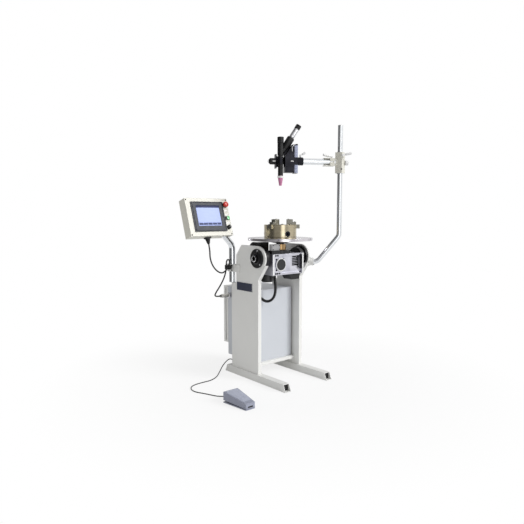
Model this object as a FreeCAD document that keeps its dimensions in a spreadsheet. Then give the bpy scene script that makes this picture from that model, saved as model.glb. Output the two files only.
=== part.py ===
import FreeCAD, Part
import math
import os
import re
import Sketcher

V = FreeCAD.Vector
Turn = FreeCAD.Rotation
ALONG = {"x": Turn(V(0, 1, 0), 90), "y": Turn(V(1, 0, 0), -90), "z": Turn()}

# Origin: the floor point under the table's axis. +X is the tilt axis, towards the torch mast,
# -Y the side the feet reach out to, +Z up. The tilt axis crosses the table's axis.
SIZES = {
    # feet: square tube, both ends mitred, the underside longer than the top
    "foot_section": 45, "foot_wall": 3, "foot_pitch": 345, "foot_front": 265, "foot_rear": 317,
    "foot_mitre": 20,
    # columns: a flat box section with a plate head round the tilt bearing
    "column_thick": 25, "column_front": 8, "column_rear": 257, "neck_height": 590, "neck_rear": 208,
    "wing_reach": 75, "wing_drop": 41, "wing_foot": 627, "head_plate": 10, "head_radius": 75,
    "head_back": 155, "shoulder_height": 767, "bearing_hole": 40,
    # tilt axis, its flange bearings and shafts
    "tilt_height": 758, "bearing_radius": 57.5, "bearing_thick": 8, "shaft_radius": 20,
    "running_fit": 0.05, "seat_gap": 0.3, "hub_length": 20, "hex_socket": 22,
    "trunnion_radius": 57, "trunnion_gap": 4, "inner_disc": 12, "inner_disc_margin": 9.5,
    # worm gearbox under the table
    "gearbox_left": 126, "gearbox_right": 129, "gearbox_depth": 70, "gearbox_rise": 25,
    "gearbox_drop": 103, "gearbox_flange": 13, "gearbox_waist": 10, "cover_radius": 33,
    "cover_offset": 60, "cover_thick": 5, "fin_count": 5, "fin_thick": 3, "fin_pitch": 10,
    "fin_depth": 22, "fin_length": 53, "fin_window": 60, "fin_end": 98,
    "motor_radius": 38, "motor_length": 48, "motor_x": 85, "motor_y": 25,
    "terminal_left": 20, "terminal_right": 114, "terminal_height": 36, "terminal_slope_left": 26,
    "terminal_slope_right": 8, "terminal_front": 60, "terminal_depth": 75,
    "drive_left": 155, "drive_width": 95, "drive_front": 40, "drive_case": 44, "drive_rear": 130,
    "drive_radius": 33,
    # rotating table and its neck
    "table_radius": 200, "table_thick": 15, "table_rise": 104, "table_bore": 32.5, "table_recess": 1,
    "tee_width": 14, "tee_head": 24, "tee_start": 112, "tee_neck": 7, "tee_floor": 3,
    "spindle_radius": 25, "neck_flange": 62, "neck_flange_thick": 20, "slip_radius": 36,
    "slip_length": 34, "hub_radius": 88, "brush_x": 104, "brush_y": 40, "brush_width": 66,
    "brush_depth": 24, "brush_height": 38,
    # three-jaw chuck
    "chuck_radius": 100, "chuck_height": 82, "jaw_width": 26, "jaw_depth": 24, "jaw_height": 33,
    "jaw_inner": 38, "jaw_outer": 120, "jaw_step": 22, "jaw_shelf": 20, "jaw_low": 1, "jaw_middle": 17,
    "jaw_first": 75, "jaw_tongue": 3, "scroll_radius": 88,
    "scroll_inner": 38, "scroll_thick": 9, "pinion_radius": 17, "pinion_length": 40,
    "pinion_height": 28, "pinion_journal": 11, "pinion_square": 12,
    # shelf and control cabinet between the columns
    "shelf_front": 35, "shelf_height": 98, "shelf_lip": 20, "sheet": 3, "cabinet_half": 148,
    "cabinet_front": 55, "cabinet_rear": 347, "cabinet_top": 552, "door_bottom": 174,
    "door_depth": 46, "door_rim": 12, "door_gap": 1.5, "hinge_radius": 6, "hinge_pin": 2.5,
    "socket_height": 500, "socket_y": 300, "socket_radius": 17, "socket_length": 99,
    # operator panel on its own post behind the left column
    "post_radius": 20, "post_wall": 3, "post_y": 267, "post_bend": 827, "post_bend_radius": 60,
    "clip_height": 682, "clip_tall": 45, "clip_wall": 8, "clip_plate": 6,
    "badge_start": 46, "badge_width": 158, "badge_height": 56, "badge_below": 80, "badge_thick": 1,
    "panel_x": 346, "panel_z": 1006, "panel_lean": 18, "panel_width": 310, "panel_height": 240,
    "panel_depth": 65, "bezel_width": 235, "bezel_height": 190,
    "bezel_thick": 5, "bezel_x": 2.5, "control_x": 133, "stop_z": 78, "stop_radius": 17,
    "start_z": -9, "start_width": 27, "start_height": 22, "selector_z": -67, "selector_radius": 14,
    # torch mast on the right column
    "mast_radius": 16, "mast_wall": 2.5, "mast_top": 1571, "mast_reach": 382, "mast_azimuth": -29,
    "mast_foot_x": 205, "mast_foot_y": -57, "mast_drop": 37, "mast_elbow_rise": 130,
    "mast_stub": 46, "mast_bend_radius": 48, "sleeve_wall": 3,
    # sliding clamp on the mast, its arm, and the torch slides at the arm's end
    "clamp_height": 128, "clamp_side": 45, "clamp_half": 31.8, "clamp_z": 1342, "arm_z": 1346,
    "arm_radius": 19, "arm_start": 140, "arm_end": 346, "arm_clamp_start": 275,
    "arm_jaw_start": 310, "arm_jaw_end": 339, "arm_clamp_half": 24, "arm_lip": 4,
    "rail_relief": 8, "rail_left": 82, "rail_right": 103, "rail_half": 25, "rail_height": 176, "rail_z": 1360,
    "collar_radius": 24.5, "clamp_knob_radius": 15, "clamp_knob_length": 24, "stud_radius": 3,
    "slide_left": 24, "slide_height": 169, "grip_clearance": 5,
    "rod_y": 32, "rod_radius": 8, "knob_radius": 19, "knob_length": 40, "knob_face": 26.6, "end_plate": 7,
    "end_plate_height": 86, "cross_rail": 66, "cross_rail_y": 44.5, "cross_rail_thick": 10,
    "holder_half": 10, "holder_height": 40, "holder_z": 1347, "holder_ring": 20,
    "neck_radius": 15.8, "barrel_radius": 18.8, "barrel_step": 1380, "barrel_top": 1452,
    "backcap_radius": 19.5, "backcap_top": 1491, "cup_top": 1244, "cup_bottom": 1197,
    "cup_radius": 16, "cup_mouth": 8, "gasket_radius": 18, "gasket_height": 12,
    "grip_lean": 33, "grip_z": 1400, "grip_radius": 21, "grip_taper": 6,
    "grip_body": 76, "grip_end": 26, "thread_radius": 15.5, "thread_length": 64, "endcap_radius": 16.5,
    "endcap_length": 27,
    # foot pedal on the floor
    "pedal_x": 505, "pedal_rear": 155, "pedal_front": 330, "pedal_rear_half": 49,
    "pedal_front_half": 30, "pedal_rear_height": 61, "pedal_front_height": 36,
    "pedal_flange": 6, "pedal_core": 24, "pedal_wall": 3, "pedal_skirt_rear": 15,
    "pedal_skirt_front": 8, "pedal_hinge_y": 316, "pedal_hinge_z": 17, "pedal_pin": 3,
    "rib_count": 15, "rib_pitch": 9.5, "rib_width": 4, "rib_height": 1.5, "relief_height": 12,
    # cords
    "conduit_radius": 8.5, "panel_lead_radius": 4.5, "pedal_lead_radius": 3,
}

doc = FreeCAD.newDocument("WeldingPositioner")
sheet = doc.addObject("Spreadsheet::Sheet", "Sizes")
for row, (alias, value) in enumerate(SIZES.items(), start=1):
    sheet.set(f"A{row}", alias)
    sheet.set(f"B{row}", str(value))
    sheet.setAlias(f"B{row}", alias)
doc.recompute()


class Values:
    pass


at = Values()
for alias in SIZES:
    setattr(at, alias, float(sheet.get(alias)))

nodes = []


def tied(text):
    return re.sub(r"[a-z_][a-z_0-9]*",
                  lambda word: "Sizes." + word.group(0) if word.group(0) in SIZES else word.group(0),
                  str(text))


def bind(thing, **ties):
    for name, text in ties.items():
        thing.setExpression(name, tied(text))
    return thing


def seat(thing, x="0", y="0", z="0", turn=None):
    if turn is not None:
        thing.Placement = FreeCAD.Placement(V(), turn)
    for letter, text in zip("xyz", (x, y, z)):
        thing.setExpression("Placement.Base." + letter, tied(text))
    return thing


def box(name, length, width, height, x="0", y="0", z="0"):
    thing = doc.addObject("Part::Box", name)
    bind(thing, Length=length, Width=width, Height=height)
    return seat(thing, x, y, z)


def cylinder(name, radius, height, x="0", y="0", z="0", along="z"):
    thing = doc.addObject("Part::Cylinder", name)
    bind(thing, Radius=radius, Height=height)
    return seat(thing, x, y, z, ALONG[along] if isinstance(along, str) else along)


def cone(name, radius, tip_radius, height, x="0", y="0", z="0", along="z"):
    thing = doc.addObject("Part::Cone", name)
    bind(thing, Radius1=radius, Radius2=tip_radius, Height=height)
    return seat(thing, x, y, z, ALONG[along] if isinstance(along, str) else along)


def ball(name, radius, x="0", y="0", z="0"):
    thing = doc.addObject("Part::Sphere", name)
    bind(thing, Radius=radius)
    return seat(thing, x, y, z)


def join(name, *things):
    thing = doc.addObject("Part::MultiFuse", name)
    thing.Shapes = list(things)
    thing.Refine = True
    return thing


def cut(name, base, *tools):
    thing = doc.addObject("Part::Cut", name)
    thing.Base = base
    thing.Tool = tools[0] if len(tools) == 1 else join(name + "_tools", *tools)
    return thing


def common(name, one, other):
    thing = doc.addObject("Part::Common", name)
    thing.Base, thing.Tool = one, other
    return thing


def carry(name, placement, *things):
    thing = doc.addObject("Part::Compound", name)
    thing.Links = list(things)
    thing.Placement = placement
    return thing


def node(thing):
    thing.Label = thing.Name
    nodes.append(thing)
    return thing


def spin_about_table(degrees):
    return FreeCAD.Placement(V(), Turn(V(0, 0, 1), degrees))


def new_body(name):
    return doc.addObject("PartDesign::Body", name)


def sketch_on(body, role, offset="0"):
    sketch = body.newObject("Sketcher::SketchObject", body.Name + "_sketch")
    origin_plane = next(item for item in body.Origin.OriginFeatures if item.Role == role)
    sketch.AttachmentSupport = (origin_plane, [""])
    sketch.MapMode = "FlatFace"
    sketch.setExpression("AttachmentOffset.Base.z", tied(offset))
    return sketch


def draw_polygon(sketch, corners):
    count = len(corners)
    first = sketch.GeometryCount
    rough = [V(math.cos(math.tau * i / count), math.sin(math.tau * i / count), 0) for i in range(count)]
    for i in range(count):
        sketch.addGeometry(Part.LineSegment(rough[i], rough[(i + 1) % count]), False)
    for i in range(count):
        sketch.addConstraint(Sketcher.Constraint("Coincident", first + i, 2, first + (i + 1) % count, 1))
    for i, corner in enumerate(corners):
        for kind, text, start in zip(("DistanceX", "DistanceY"), corner, rough[i]):
            tie = sketch.addConstraint(Sketcher.Constraint(kind, -1, 1, first + i, 1, start))
            sketch.setExpression(f"Constraints[{tie}]", tied(text))


def draw_circle(sketch, x, y, radius):
    ring = sketch.addGeometry(Part.Circle(V(0.5, 0.5, 0), V(0, 0, 1), 1), False)
    for kind, text, start in (("DistanceX", x, 0.5), ("DistanceY", y, 0.5)):
        tie = sketch.addConstraint(Sketcher.Constraint(kind, -1, 1, ring, 3, start))
        sketch.setExpression(f"Constraints[{tie}]", tied(text))
    tie = sketch.addConstraint(Sketcher.Constraint("Radius", ring, 1))
    sketch.setExpression(f"Constraints[{tie}]", tied(radius))


def pad(body, sketch, length, symmetric=False, backwards=False):
    feature = body.newObject("PartDesign::Pad", body.Name + "_pad")
    feature.Profile = sketch
    feature.SideType = "Symmetric" if symmetric else "One side"
    feature.Reversed = backwards
    bind(feature, Length=length)
    sketch.Visibility = False
    return feature


def pocket(body, sketch, length, symmetric=False, backwards=False):
    feature = body.newObject("PartDesign::Pocket", body.Name + "_pocket")
    feature.Profile = sketch
    feature.SideType = "Symmetric" if symmetric else "One side"
    feature.Reversed = backwards
    bind(feature, Length=length)
    return feature


def prism(name, role, corners, length, offset="0", symmetric=True, backwards=False):
    body = new_body(name)
    sketch = sketch_on(body, role, offset)
    draw_polygon(sketch, corners)
    pad(body, sketch, length, symmetric, backwards)
    return body


def bent_wire(points, bend=None, report=""):
    # Straight runs joined by tangent arcs. With no bend radius given, each arc is as large as
    # its two runs allow.
    points = [V(*point) for point in points]
    edges, here, radii = [], points[0], []
    for before, corner, after in zip(points, points[1:], points[2:]):
        inward = (corner - before).normalize()
        outward = (after - corner).normalize()
        half_turn = inward.getAngle(outward) / 2
        shorter = min(before.distanceToPoint(corner), corner.distanceToPoint(after))
        radius = bend if bend else 0.45 * shorter / math.tan(half_turn)
        reach = radius * math.tan(half_turn)
        side = (outward - inward).normalize()
        start, end = corner - inward * reach, corner + outward * reach
        middle = corner + side * (radius / math.cos(half_turn) - radius)
        edges += [Part.LineSegment(here, start).toShape(), Part.Arc(start, middle, end).toShape()]
        here = end
        radii.append(round(radius))
    edges.append(Part.LineSegment(here, points[-1]).toShape())
    if report:
        print(report, "arc radii", radii)
    return Part.Wire(edges)


def swept(wire, start, towards, radius):
    ring = Part.Wire(Part.makeCircle(radius, start, towards - start))
    return wire.makePipeShell([ring], True, False)


def tube(name, points, radius, bore=0, bend=None):
    wire = bent_wire(points, bend, "" if bend else name)
    start, towards = V(*points[0]), V(*points[1])
    shape = swept(wire, start, towards, radius)
    if bore:
        shape = shape.cut(swept(wire, start, towards, bore))
    expected = math.pi * (radius ** 2 - bore ** 2) * wire.Length
    if abs(shape.Volume / expected - 1) > 0.01:
        raise RuntimeError(f"{name}: tube volume {shape.Volume:.0f}, expected {expected:.0f}")
    thing = doc.addObject("Part::Feature", name)
    thing.Shape = shape
    return thing


def foot(name, side):
    body = new_body(name)
    profile = sketch_on(body, "YZ_Plane")
    draw_polygon(profile, [("-foot_front", "0"), ("foot_rear", "0"),
                           ("foot_rear - foot_mitre", "foot_section"),
                           ("foot_mitre - foot_front", "foot_section")])
    pad(body, profile, "foot_section", symmetric=True)
    hollow = sketch_on(body, "XZ_Plane")
    half = "(foot_section/2 - foot_wall)"
    draw_polygon(hollow, [(f"-{half}", "foot_wall"), (half, "foot_wall"),
                          (half, "foot_section - foot_wall"), (f"-{half}", "foot_section - foot_wall")])
    pocket(body, hollow, "2*(foot_front + foot_rear)", symmetric=True)
    node(seat(body, x=f"{side}*foot_pitch/2"))


def column(name, side):
    wing_top = "tilt_height - wing_drop"
    body = new_body(name)
    section = sketch_on(body, "YZ_Plane")
    draw_polygon(section, [("-column_front", "foot_section"), ("column_rear", "foot_section"),
                           ("column_rear", "neck_height"), ("neck_rear", "neck_height"),
                           ("neck_rear", wing_top), ("-wing_reach", wing_top),
                           ("-column_front", "wing_foot")])
    pad(body, section, "column_thick", symmetric=True)
    head = sketch_on(body, "YZ_Plane", f"{side}*column_thick/2")
    draw_polygon(head, [("0", "wing_foot"), ("neck_rear", "wing_foot"), ("neck_rear", "shoulder_height"),
                        ("head_back", "tilt_height + head_radius"), ("0", "tilt_height + head_radius")])
    pad(body, head, "head_plate", backwards=side > 0)
    crown = sketch_on(body, "YZ_Plane", f"{side}*column_thick/2")
    draw_circle(crown, "0", "tilt_height", "head_radius")
    pad(body, crown, "head_plate", backwards=side > 0)
    hole = sketch_on(body, "YZ_Plane")
    draw_circle(hole, "0", "tilt_height", "bearing_hole")
    pocket(body, hole, "2*column_thick", symmetric=True)
    node(seat(body, x=f"{side}*foot_pitch/2"))


def bearing(name, side):
    outer = "foot_pitch/2 + column_thick/2"
    low, spigot_low = (outer, f"{outer} - column_thick") if side > 0 else (
        f"-({outer}) - bearing_thick", f"-({outer})")
    flange = cylinder(name + "_flange", "bearing_radius", "bearing_thick", low, z="tilt_height", along="x")
    spigot = cylinder(name + "_spigot", "bearing_hole - seat_gap", "column_thick", spigot_low,
                      z="tilt_height", along="x")
    bore = cylinder(name + "_bore", "shaft_radius + running_fit", "2*(column_thick + bearing_thick)",
                    f"{spigot_low} - column_thick", z="tilt_height", along="x")
    inner = "(foot_pitch/2 + column_thick/2 - head_plate)"
    disc = cylinder(name + "_disc", "bearing_radius + inner_disc_margin", "inner_disc",
                    f"{inner} - inner_disc"
                    if side > 0 else f"-{inner}", z="tilt_height", along="x")
    below = box(name + "_below", "foot_pitch", "foot_pitch", "foot_pitch", "0" if side > 0 else "-foot_pitch",
                "-foot_pitch/2", "tilt_height - wing_drop + seat_gap - foot_pitch")
    node(cut(name, join(name + "_solid", flange, spigot, cut(name + "_inner", disc, below)), bore))


def trunnion(name, side):
    reach = "gearbox_left" if side < 0 else "gearbox_right"
    inner_face = "(foot_pitch/2 - column_thick/2 - trunnion_gap)"
    outer_face = "(foot_pitch/2 + column_thick/2 + bearing_thick)"
    disc_low = f"-{inner_face}" if side < 0 else reach
    disc = cylinder(name + "_disc", "trunnion_radius", f"{inner_face} - {reach}", disc_low,
                    z="tilt_height", along="x")
    shaft_low = f"-{outer_face} - seat_gap" if side < 0 else reach
    shaft = cylinder(name + "_shaft", "shaft_radius", f"{outer_face} - {reach} + seat_gap", shaft_low,
                     z="tilt_height", along="x")
    if side > 0:
        node(join(name, disc, shaft))
        return
    hub = cylinder(name + "_hub", "shaft_radius", "hub_length", f"-{outer_face} - seat_gap - hub_length",
                   z="tilt_height", along="x")
    hexagon = doc.addObject("Part::Prism", name + "_hexagon")
    bind(hexagon, Circumradius="hex_socket/2/cos(30)", Height="hub_length")
    seat(hexagon, f"-{outer_face} - seat_gap - 1.5*hub_length", z="tilt_height", turn=ALONG["x"])
    node(cut(name, join(name + "_solid", disc, shaft, hub), hexagon))


def gearbox():
    bottom, top = "(tilt_height - gearbox_drop)", "(tilt_height + gearbox_rise)"
    length = "(gearbox_left + gearbox_right)"
    block = box("gearbox_block", length, "2*gearbox_depth", "gearbox_drop + gearbox_rise",
                "-gearbox_left", "-gearbox_depth", bottom)
    # The waist between the square cover end and the end flange, drawn in front and behind.
    waist_left = "(2*cover_radius + 12 - gearbox_left)"
    waist_length = f"(gearbox_right - gearbox_flange - {waist_left})"
    waist_height = "(gearbox_drop + gearbox_rise - 2*gearbox_flange)"
    tools = []
    for name, y in (("front", "-gearbox_depth - gearbox_waist"), ("back", "gearbox_depth - gearbox_waist")):
        tools.append(box(f"gearbox_waist_{name}", waist_length, "2*gearbox_waist", waist_height,
                         waist_left, y, f"{bottom} + gearbox_flange"))
    # Cooling fins: level plates in a window through the front of the waist.
    middle = "(tilt_height + (gearbox_rise - gearbox_drop)/2)"
    window_z = f"({middle} + gearbox_flange - fin_window/2 + 3)"
    tools.append(box("gearbox_window", "fin_length", "fin_depth + gearbox_waist", "fin_window",
                     "fin_end - fin_length", "-gearbox_depth", window_z))
    fins = [box(f"gearbox_fin_{index}", "fin_length + 2", "fin_depth - 1", "fin_thick",
                "fin_end - fin_length - 1", "gearbox_waist + 2 - gearbox_depth",
                f"{window_z} + {index + 1}*fin_pitch - fin_thick/2") for index in range(int(at.fin_count))]
    tools.append(cylinder("gearbox_bore", "spindle_radius + running_fit", "gearbox_drop + gearbox_rise",
                          z=f"{bottom} + 2*gearbox_flange - seat_gap"))
    body = cut("gearbox_body", block, *tools)
    boss = cylinder("gearbox_boss", "cover_radius + 4", "cover_thick", "-cover_offset",
                    "-gearbox_depth - cover_thick", middle, along="y")
    node(join("gearbox_housing", body, boss, *fins))
    node(cylinder("gearbox_cap", "cover_radius", "cover_thick", "-cover_offset",
                  "-gearbox_depth - 2*cover_thick", middle, along="y"))
    motor = cylinder("motor_can", "motor_radius", "motor_length - 8", "-motor_x", "motor_y",
                     f"{bottom} - motor_length + 8")
    motor_end = cone("motor_end", "motor_radius - 6", "motor_radius", "8", "-motor_x", "motor_y",
                     f"{bottom} - motor_length")
    node(join("drive_motor", motor, motor_end))
    node(prism("terminal_box", "XZ_Plane",
               [("terminal_left + terminal_slope_left", f"{bottom} - terminal_height"),
                ("terminal_right - terminal_slope_right", f"{bottom} - terminal_height"),
                ("terminal_right", bottom), ("terminal_left", bottom)],
               "terminal_depth", "terminal_front - terminal_depth/2"))
    # The table's own drive: a gear case with a round motor behind it, on top of the gearbox.
    drive_height = "(table_rise - gearbox_rise - 11)"
    case = box("drive_case_solid", "drive_width", "drive_case", drive_height, "-drive_left",
               "drive_front", top)
    can = cylinder("drive_can", "drive_radius", "drive_rear - drive_front - drive_case",
                   "drive_width/2 - drive_left",
                   "drive_front + drive_case", f"{top} + {drive_height}/2", along="y")
    clear = cylinder("drive_clearance", "trunnion_radius + 1", "drive_left - gearbox_left + 10",
                     "-drive_left - 10", z="tilt_height", along="x")
    node(cut("table_motor", join("drive_solid", case, can), clear))
    # Neck: the flange that carries the table's bearing, with the earth brush beside the slip ring.
    flange = cylinder("neck_disc", "neck_flange", "neck_flange_thick", z=top)
    bore = cylinder("neck_bore", "spindle_radius + running_fit", "2*neck_flange_thick",
                    z=f"{top} - neck_flange_thick/2")
    foot = box("neck_foot", "brush_x + 4", "brush_y + 8", "neck_flange_thick", "-brush_x - 4",
               "-brush_y - 6", top)
    node(cut("neck_housing", join("neck_solid", flange, foot), bore))
    holder = box("brush_block", "brush_width", "brush_depth", "brush_height", "-brush_x", "-brush_y",
                 f"{top} + neck_flange_thick")
    face = box("brush_face", "brush_width - 10", "3", "brush_height - 12", "4 - brush_x", "-brush_y - 3",
               f"{top} + neck_flange_thick + 6")
    brush = box("brush_tip", "5", "8", "12", "brush_width - brush_x - 1", "-brush_y + brush_depth - 8",
                f"{top} + neck_flange_thick + 13")
    node(join("brush_holder", holder, face, brush))


def turntable():
    plate = cylinder("table_plate", "table_radius", "table_thick", z="(tilt_height + table_rise)")
    tools = [cylinder("table_hole", "table_bore", "3*table_thick",
        z="(tilt_height + table_rise) - table_thick"),
             cylinder("table_register", "chuck_radius + seat_gap", "table_thick",
                      z="(tilt_height + table_rise) + table_thick - table_recess")]
    for index in range(4):
        turn = 45 + 90 * index
        neck = box(f"table_tee_{index}", "table_radius", "tee_width", "table_thick", "tee_start",
                   "-tee_width/2", "(tilt_height + table_rise) + table_thick - tee_neck")
        head = box(f"table_tee_head_{index}", "table_radius", "tee_head",
                   "table_thick - tee_neck - tee_floor", "tee_start - (tee_head - tee_width)/2",
                   "-tee_head/2", "(tilt_height + table_rise) + tee_floor")
        tools.append(carry(f"table_tee_turned_{index}", spin_about_table(turn), join(f"tee_{index}", neck,
            head)))
    node(cut("table", plate, *tools))
    neck_top = "(tilt_height + gearbox_rise + neck_flange_thick)"
    shaft = cylinder("hub_shaft", "spindle_radius", "table_rise + gearbox_drop - 2*gearbox_flange",
                     z="tilt_height - gearbox_drop + 2*gearbox_flange")
    disc = cylinder("hub_disc", "hub_radius", "8", z="(tilt_height + table_rise) - 8")
    step = cone("hub_step", "slip_radius + 6", "hub_radius - 12", "8", z="(tilt_height + table_rise) - 16")
    node(join("table_hub", shaft, disc, step))
    ring = cylinder("slip_disc", "slip_radius", "slip_length", z=f"{neck_top} + 2")
    ring_bore = cylinder("slip_bore", "spindle_radius + seat_gap", "2*slip_length", z=f"{neck_top} - 1")
    node(cut("slip_ring", ring, ring_bore))


def chuck():
    base = "(tilt_height + table_rise + table_thick - table_recess)"
    top = f"({base} + chuck_height + table_recess)"
    pinion_z = f"({base} + pinion_height)"
    body = cylinder("chuck_solid", "chuck_radius", "chuck_height + table_recess", z=base)
    tools = [cylinder("chuck_bore", "table_bore", "2*chuck_height", z=f"{base} - 5")]
    cavity_top = f"({top} - jaw_depth + 0.2)"
    cavity = cylinder("chuck_cavity_outer", "scroll_radius + 1", "scroll_thick + 1",
                      z=f"{cavity_top} - scroll_thick - 1")
    core = cylinder("chuck_cavity_core", "scroll_inner - 1", "3*scroll_thick",
        z=f"{cavity_top} - 2*scroll_thick")
    tools.append(cut("chuck_cavity", cavity, core))
    for index in range(3):
        jaw_turn = at.jaw_first + 120 * index
        slot = box(f"jaw_slot_{index}", "2*chuck_radius", "jaw_width + 0.2", "2*jaw_depth", "0",
                   "-jaw_width/2 - 0.1", f"{top} - jaw_depth")
        groove = box(f"jaw_groove_{index}", "2*chuck_radius", "jaw_width + 2*jaw_tongue + 0.2", "6.2", "0",
                     "-jaw_width/2 - jaw_tongue - 0.1", f"{top} - jaw_depth + 5.9")
        tools.append(carry(f"jaw_way_{index}", spin_about_table(jaw_turn), join(f"jaw_cut_{index}", slot,
            groove)))
        hole = cylinder(f"pinion_hole_{index}", "pinion_radius + running_fit", "chuck_radius",
                        "scroll_radius + 3", z=pinion_z, along="x")
        journal = cylinder(f"pinion_journal_hole_{index}", "pinion_journal + running_fit",
            "pinion_length - 5",
                           "chuck_radius - pinion_length", z=pinion_z, along="x")
        tools.append(carry(f"pinion_way_{index}", spin_about_table(jaw_turn + 60),
                           join(f"pinion_hole_solid_{index}", hole, journal)))
    node(cut("chuck_body", body, *tools))
    # The scroll's flat spiral thread drives the three jaws together.
    disc = cylinder("scroll_disc", "scroll_radius", "scroll_thick - 1",
        z=f"{cavity_top} - scroll_thick - 0.2")
    eye = cylinder("scroll_eye", "scroll_inner", "3*scroll_thick", z=f"{cavity_top} - 2*scroll_thick")
    node(cut("scroll", disc, eye))
    for index in range(3):
        jaw_turn = at.jaw_first + 120 * index
        low = f"({top} - jaw_depth + 0.3)"
        profile = prism(f"jaw_profile_{index}", "XZ_Plane", [
            ("jaw_inner", low), ("jaw_outer", low), ("jaw_outer", f"{top} + jaw_low"),
            ("jaw_outer - jaw_step", f"{top} + jaw_low"), ("jaw_outer - jaw_step", f"{top} + jaw_middle"),
            ("jaw_outer - jaw_step - jaw_shelf", f"{top} + jaw_middle"),
            ("jaw_outer - jaw_step - jaw_shelf", f"{top} + jaw_height"),
            ("jaw_inner", f"{top} + jaw_height")], "jaw_width")
        tongue = box(f"jaw_tongue_{index}", "jaw_outer - jaw_inner - 4", "jaw_width + 2*jaw_tongue", "6",
                     "jaw_inner + 2", "-jaw_width/2 - jaw_tongue", f"{top} - jaw_depth + 6")
        node(carry(f"jaw_{index + 1}", spin_about_table(jaw_turn), join(f"jaw_solid_{index}", profile,
            tongue)))
        head = cylinder(f"pinion_head_{index}", "pinion_radius", "chuck_radius - scroll_radius - 4",
                        "scroll_radius + 3 + seat_gap", z=pinion_z, along="x")
        journal = cylinder(f"pinion_journal_{index}", "pinion_journal", "pinion_length - 8",
                           "chuck_radius - pinion_length + seat_gap", z=pinion_z, along="x")
        key = box(f"pinion_key_{index}", "pinion_length/2", "pinion_square", "pinion_square",
                  "chuck_radius - pinion_length/2", "-pinion_square/2", f"{pinion_z} - pinion_square/2")
        node(carry(f"pinion_{index + 1}", spin_about_table(jaw_turn + 60),
                   cut(f"pinion_cut_{index}", join(f"pinion_solid_{index}", head, journal), key)))


def shelf_and_cabinet():
    inner = "(foot_pitch/2 - column_thick/2)"
    plate = box("shelf_plate", f"2*{inner}", "column_rear - shelf_front", "sheet", f"-{inner}",
                "shelf_front", "shelf_height - sheet")
    front_lip = box("shelf_front_lip", f"2*{inner}", "sheet", "shelf_lip", f"-{inner}", "shelf_front",
                    "shelf_height - shelf_lip")
    rear_lip = box("shelf_rear_lip", f"2*{inner}", "sheet", "shelf_lip", f"-{inner}", "column_rear - sheet",
                   "shelf_height - shelf_lip")
    node(join("shelf", plate, front_lip, rear_lip))
    height = "(cabinet_top - shelf_height)"
    depth = "(cabinet_rear - cabinet_front)"
    skin = box("cabinet_skin", "2*cabinet_half", depth, height, "-cabinet_half", "cabinet_front",
               "shelf_height")
    inside = box("cabinet_inside", "2*(cabinet_half - sheet)", f"{depth} - 2*sheet", f"{height} - 2*sheet",
                 "sheet - cabinet_half", "cabinet_front + sheet", "shelf_height + sheet")
    window = box("cabinet_window", "2*(cabinet_half - door_rim)", "4*sheet",
                 "cabinet_top - door_bottom - 2*door_rim",
                 "door_rim - cabinet_half", "cabinet_rear - 2*sheet", "door_bottom + door_rim")
    brackets = []
    for index, (side, z) in enumerate([(s, h) for s in (-1, 1) for h in ("neck_height - 90",
                                                                         "shelf_height + 60")]):
        brackets.append(box(f"cabinet_bracket_{index}", f"{inner} - cabinet_half", "40", "30",
                            f"-{inner}" if side < 0 else "cabinet_half", "cabinet_front + 60", z))
    # The door turns on two pins at the cabinet's right rear edge, each in its own pair of knuckles.
    hinge_x, hinge_y = "(cabinet_half + hinge_radius)", "(cabinet_rear - hinge_radius)"
    knuckles, door_parts, door_bores = [], [], []
    for index, z in enumerate(("door_bottom + 40", "cabinet_top - 90")):
        knuckles += [
            cylinder(f"hinge_barrel_{index}", "hinge_radius", "24", hinge_x, hinge_y, z),
            cylinder(f"hinge_pin_{index}", "hinge_pin", "46", hinge_x, hinge_y, z),
            box(f"hinge_leaf_{index}", "hinge_radius", "11", "24", "cabinet_half", f"{hinge_y} - 5", z)]
        door_parts += [
            cylinder(f"door_barrel_{index}", "hinge_radius", "22", hinge_x, hinge_y, f"{z} + 24.3"),
            box(f"door_arm_{index}", "4", "17", "22", "cabinet_half + 2", hinge_y, f"{z} + 24.3"),
            box(f"door_leaf_{index}", "hinge_radius", "8", "22", "cabinet_half", f"{hinge_y} + 9",
                f"{z} + 24.3")]
        door_bores.append(cylinder(f"door_bore_{index}", "hinge_pin + running_fit", "30", hinge_x, hinge_y,
                                   f"{z} + 20"))
    node(join("control_cabinet", cut("cabinet_shell", skin, inside, window), *brackets, *knuckles))
    door_height = "(cabinet_top - door_bottom)"
    shell = box("door_skin", "2*cabinet_half", "door_depth", door_height, "-cabinet_half",
                "cabinet_rear + door_gap", "door_bottom")
    hollow = box("door_inside", "2*(cabinet_half - sheet)", "door_depth", f"{door_height} - 2*sheet",
                 "sheet - cabinet_half", "cabinet_rear + door_gap - sheet", "door_bottom + sheet")
    vent = box("door_vent", "3*sheet", "7", f"{door_height} - 24", "-cabinet_half - sheet",
               "cabinet_rear + door_gap + door_depth/2 - 3.5", "door_bottom + 12")
    tray = cut("door_tray", shell, hollow, vent)
    node(cut("rear_door", join("door_solid", tray, *door_parts), *door_bores))


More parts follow.
